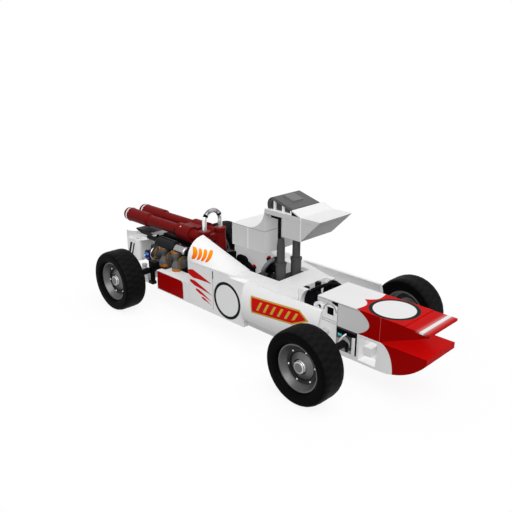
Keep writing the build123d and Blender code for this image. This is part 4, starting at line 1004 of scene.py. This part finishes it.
def tyre_sheet(middle, radius, half_width, bore):
    """Superellipse section carried round the axle; ring and staggered cross grooves lower its tread."""
    turn = np.linspace(0, 2 * pi, TREAD_PITCHES * TREAD_STEPS, endpoint=False)[:, None]
    lap = np.linspace(0, 2 * pi, TYRE_SECTION_STEPS, endpoint=False)[None, :]
    across = half_width * bent(np.cos(lap), TYRE_SQUARENESS)
    rise = bent(np.sin(lap), TYRE_SQUARENESS)
    tread = np.clip((rise - TREAD_FROM) / TREAD_OVER, 0, 1)
    row = np.floor((across / half_width + 1) * (TREAD_ROWS / 2))
    pitch = turn * TREAD_PITCHES / (2 * pi) + row * TREAD_STAGGER
    cross_cut = groove((pitch + 0.5) % 1 - 0.5, *CROSS_GROOVE)
    ring_cut = groove(np.abs(across) - half_width / TREAD_ROWS, *RING_GROOVE)
    ridge = groove(rise - WALL_RIDGE_AT, *WALL_RIDGE) * (rise > 0) * WALL_RIDGE_SHARE
    reach = (radius + bore) / 2 + (radius - bore) / 2 * rise
    reach = reach - TREAD_DEPTH * tread * np.maximum(cross_cut, ring_cut)
    across = np.broadcast_to(across * (1 - WALL_INSET + WALL_INSET * ridge), reach.shape)
    grid = np.stack([middle[0] + reach * np.cos(turn),
                     middle[1] + across,
                     middle[2] + reach * np.sin(turn)], -1)
    return grid, True, True


def hub_sheets(middle, outward):
    """Domed studs spaced evenly round the web's raised ring, and a flat-topped dome as the hub cap."""
    stud = dome(STUD_R, STUD_HEIGHT, steps=6)
    sheets = []
    for turn in np.arange(STUD_COUNT) * 2 * pi / STUD_COUNT + STUD_START:
        foot = (STUD_CIRCLE_R * cos(turn), outward * WEB_RING_DEPTH, STUD_CIRCLE_R * sin(turn))
        sheets.append(turned(stud, STUD_TURNS, middle + foot, outward))
    cap = dome(CAP_R, CAP_HEIGHT, steps=14, squareness=CAP_SQUARENESS)
    return sheets + [turned(cap, CAP_TURNS, middle + (0, outward * CAP_DEPTH, 0), outward)]


for corner in CORNERS:
    middle, outward, radius, half_width = wheel_place(corner)
    rim_low, rim_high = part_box(f"rim_{corner}")
    bore = (rim_high.z - rim_low.z) / 2 / MM
    tread = add_piece(f"tread_tyre_{corner}", [tyre_sheet(middle, radius, half_width, bore)],
                      f"wheel_{corner}", rubber, smooth_angle=50)
    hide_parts(f"tyre_{corner}")
    add_piece(f"hub_cap_and_studs_{corner}", hub_sheets(middle, outward), f"wheel_{corner}",
              silver_metal, smooth_angle=60)


# Small trim on the chassis; a pair is given by its left or right one

HINGE_CORE_HALF = 3.2
HINGE_CORE_DEPTHS = (3.0, 1.0)      # inner and outer face, in from the hinge beams' outside
TRIM_Y = (BODY_Y - 0.6, BODY_Y + 0.5)       # bars and stays: sunk in the carrier's side, and proud of it
TOP_BAR_X = (88.2, 102.7)
TOP_BAR_Z = (28.4, 31.2)
STAY_X = (100.4, 102.7)
STAY_Z = (16.0, 29.2)
LAMP_BEZEL = (LAMP_X, -16.4, 29.6)
LAMP_BEZEL_R = 3.9
LAMP_BEZEL_BAR_R = 0.8
LAMP_RING = (-101.0, 17.0, 34.5)
LAMP_RING_R = 5.2
LAMP_RING_BAR_R = 0.45
BULB = ((-104.3, 11.7, 29.2), (-102.9, 18.8, 30.6))         # low and high corner
BOLSTER = ((-31.5, 8.2, 33.0), (-18.5, 12.0, 45.2))
HOOP_X = -48.0
HOOP_Y = 8.0                # radius of the bow's centre line
HOOP_BAR_R = 1.75
HOOP_COLLAR = (27.0, 41.0)  # degrees up the bow, from its springing
HOOP_COLLAR_WALL = 0.15
RIB_Z = (29.3, 15.9)        # from and to
RIB_REAR = (91.5, 18.2)     # x and z of the rib's most rearward point
RIB_CURVE = 0.036           # how fast it runs forward from there
RIB_FOOT_Y = 16.2
RIB_PROUD = 2.6
RIB_R = 0.55
ROOF_REAR = (25.6, 103.6)   # x and z under the roof's rear and front
ROOF_FRONT = (45.6, 98.4)
ROOF_FOOT_Z = 96.2
ROOF_CORE_Y = 12.2
LINK_BENDS = ((64.6, -13.5, 48.6), (65.3, -7.8, 49.3), (66.2, -0.7, 49.4), (66.7, 5.0, 49.2))
LINK_R = 1.25
LINK_EYE = (66.9, 6.2, 49.0)
LINK_EYE_R = 2.4
LINK_EYE_BAR_R = 1.1


def block(x_range, y_range, z_range, squareness):
    """Rounded block between two limits on each axis."""
    low, high = zip(x_range, y_range, z_range)
    return pebble(low, high, squareness)


def hinge_core():
    """Square-edged dark core that fills the hinge's arch."""
    outside = max(abs(point.y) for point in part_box("hinge_beams")) / MM
    inner, outer = HINGE_CORE_DEPTHS
    return block((HINGE_X - HINGE_CORE_HALF, HINGE_X + HINGE_CORE_HALF), (outside - inner, outside - outer),
                 (HINGE_Z - HINGE_CORE_HALF, HINGE_Z + HINGE_CORE_HALF), squareness=12)


def hoop_collar():
    """Sleeve round a stretch of the hoop's bow: a tube along an arc about the middle of its springing."""
    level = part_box("roll_hoop")[1].z / MM - HOOP_Y - HOOP_BAR_R
    bend = np.linspace(*np.radians(HOOP_COLLAR), 8)
    arc = np.stack([HOOP_X + 0 * bend, HOOP_Y * np.cos(bend), level + HOOP_Y * np.sin(bend)], -1)
    return tube(arc, HOOP_BAR_R + HOOP_COLLAR_WALL, sides=24)


def carrier_rib():
    """Rod down the carrier's side: a parabola in x, and a sixth power in y that brings both ends in."""
    rise = np.linspace(*RIB_Z, 24)
    lap = np.linspace(-1, 1, 24)
    rear_x, rear_z = RIB_REAR
    path = np.stack([rear_x + RIB_CURVE * (rise - rear_z) ** 2,
                     RIB_FOOT_Y + RIB_PROUD * (1 - lap ** 6),
                     rise], -1)
    return tube(path, RIB_R)


def roof_core():
    """Upright rectangle from the deck to the roof's straight slope, carried forward, its ends closed flat."""
    slope = np.linspace(0, 1, 12)[:, None]
    x, top = (rear + (front - rear) * slope for rear, front in zip(ROOF_REAR, ROOF_FRONT))
    upper = np.array([[0, 0, 1, 1]])
    across = ROOF_CORE_Y * np.array([[-1, 1, 1, -1]])
    core = np.stack([x + 0 * upper, across + 0 * x, ROOF_FOOT_Z + (top - ROOF_FOOT_Z) * upper], -1)
    rear_end, front_end = core[[0, -1]].mean(1, keepdims=True).repeat(4, 1)
    return np.concatenate([rear_end[None], core, front_end[None]]), False, True


def link_sheets():
    """Rod through its bends, straight from one to the next, and a round eye lying at its inner end."""
    bends = np.array(LINK_BENDS)
    steps = np.linspace(0, len(bends) - 1, 30)
    path = np.stack([np.interp(steps, range(len(bends)), places) for places in bends.T], -1)
    return [tube(path, LINK_R), band(LINK_EYE, "z", LINK_EYE_R, LINK_EYE_BAR_R)]


def add_trim(name, sheets, material, smooth_angle=35.0):
    """Piece that rides on the chassis."""
    add_piece(name, sheets, "chassis", material, smooth_angle)


add_trim("hinge_cores", both_sides([hinge_core()]), black_plastic)
add_trim("carrier_top_bars", both_sides([block(TOP_BAR_X, TRIM_Y, TOP_BAR_Z, squareness=9)]),
         black_plastic)
add_trim("carrier_white_stays", both_sides([block(STAY_X, TRIM_Y, STAY_Z, squareness=9)]),
         white_plastic)
add_trim("lamp_bezels", both_sides([band(LAMP_BEZEL, "y", LAMP_BEZEL_R, LAMP_BEZEL_BAR_R)]),
         black_plastic)
add_trim("hoop_collars", both_sides([hoop_collar()]), black_plastic)
add_trim("carrier_white_ribs", both_sides([carrier_rib()]), white_plastic, smooth_angle=60)
add_trim("roof_core", [roof_core()], dark_grey_plastic, smooth_angle=30)
add_trim("link_arm", link_sheets(), black_plastic, smooth_angle=60)
add_trim("seat_bolsters", both_sides([pebble(*BOLSTER, squareness=2.6)]), black_plastic,
         smooth_angle=60)
add_trim("lamp_rings", both_sides([band(LAMP_RING, "x", LAMP_RING_R, LAMP_RING_BAR_R)]), chrome,
         smooth_angle=60)
add_trim("orange_bulbs", both_sides([pebble(*BULB, squareness=3, steps=10)]),
         copper_plastic, smooth_angle=60)


# Stage, light and camera, in metres

SURROUND_WHITE = 1.0        # strength that the camera sees
SURROUND_LIGHT = 0.22       # strength that lights the object
FLOOR_HALF = 6.0
FLOOR_TONE = (0.25, 0.25, 0.25, 1)
FLOOR_GLOW = 0.78
LAMP_SPREAD = 60            # degrees
KEY_WAY = (-0.3, 0.02, -0.5)
KEY_STRENGTH = 0.74
FILL_WAY = (-0.25, 0.38, -0.46)
FILL_STRENGTH = 2.04
CAMERA_PLACE = (0.3019, -0.3020, 0.2040)
CAMERA_AIM = (0, 0, 0.053)
CAMERA_VIEW = 45            # degrees
CAMERA_NEAR = 0.01


def white_to_the_camera(tree, strength_socket, camera_strength, light_strength):
    """Camera, mirror and glass rays see one strength and the light on the object comes from the other."""
    rays = tree.nodes.new("ShaderNodeLightPath")
    seen = Field(tree, rays.outputs["Is Camera Ray"])
    for label in ("Is Glossy Ray", "Is Transmission Ray"):
        seen = seen.larger(Field(tree, rays.outputs[label]))
    strength = seen * (camera_strength - light_strength) + light_strength
    tree.links.new(strength.socket, strength_socket)


def make_surround():
    """White surround that gives the object only a little light."""
    world = bpy.data.worlds.new("studio")
    bpy.context.scene.world = world
    world.use_nodes = True
    background = world.node_tree.nodes["Background"]
    background.inputs["Color"].default_value = (1, 1, 1, 1)
    white_to_the_camera(world.node_tree, background.inputs["Strength"], SURROUND_WHITE, SURROUND_LIGHT)


def make_floor():
    """Pale floor that keeps a soft shadow."""
    mesh = bpy.data.meshes.new("floor")
    corners = [(-1, -1), (1, -1), (1, 1), (-1, 1)]
    mesh.from_pydata([(FLOOR_HALF * x, FLOOR_HALF * y, 0) for x, y in corners], [], [(0, 1, 2, 3)])
    floor = bpy.data.objects.new("floor", mesh)
    bpy.context.scene.collection.objects.link(floor)
    material = bpy.data.materials.new("floor_white")
    material.use_nodes = True
    tree = material.node_tree
    shader = tree.nodes["Principled BSDF"]
    shader.inputs["Base Color"].default_value = FLOOR_TONE
    shader.inputs["Roughness"].default_value = 1.0
    shader.inputs["Specular IOR Level"].default_value = 0.0
    shader.inputs["Emission Color"].default_value = (1, 1, 1, 1)
    white_to_the_camera(tree, shader.inputs["Emission Strength"], FLOOR_GLOW, 0.0)
    mesh.materials.append(material)


def add_sun(name, way, strength, shadow=True):
    """Soft distant lamp that shines along a direction."""
    lamp = bpy.data.lights.new(name, "SUN")
    lamp.energy = strength
    lamp.angle = radians(LAMP_SPREAD)
    lamp.use_shadow = shadow
    holder = bpy.data.objects.new(name, lamp)
    holder.rotation_euler = Vector(way).to_track_quat("-Z", "Y").to_euler()
    bpy.context.scene.collection.objects.link(holder)


def add_camera():
    """The photograph's view: 45 degrees from the nose and the right side, looking a little down."""
    lens = bpy.data.cameras.new("camera")
    lens.angle = radians(CAMERA_VIEW)
    lens.clip_start = CAMERA_NEAR
    camera = bpy.data.objects.new("camera", lens)
    camera.location = CAMERA_PLACE
    aim = Vector(CAMERA_AIM) - camera.location
    camera.rotation_euler = aim.to_track_quat("-Z", "Y").to_euler()
    bpy.context.scene.collection.objects.link(camera)
    bpy.context.scene.camera = camera


make_surround()
make_floor()
add_sun("key", KEY_WAY, KEY_STRENGTH)
add_sun("fill", FILL_WAY, FILL_STRENGTH, shadow=False)
add_camera()
bpy.context.scene.view_settings.view_transform = "Standard"
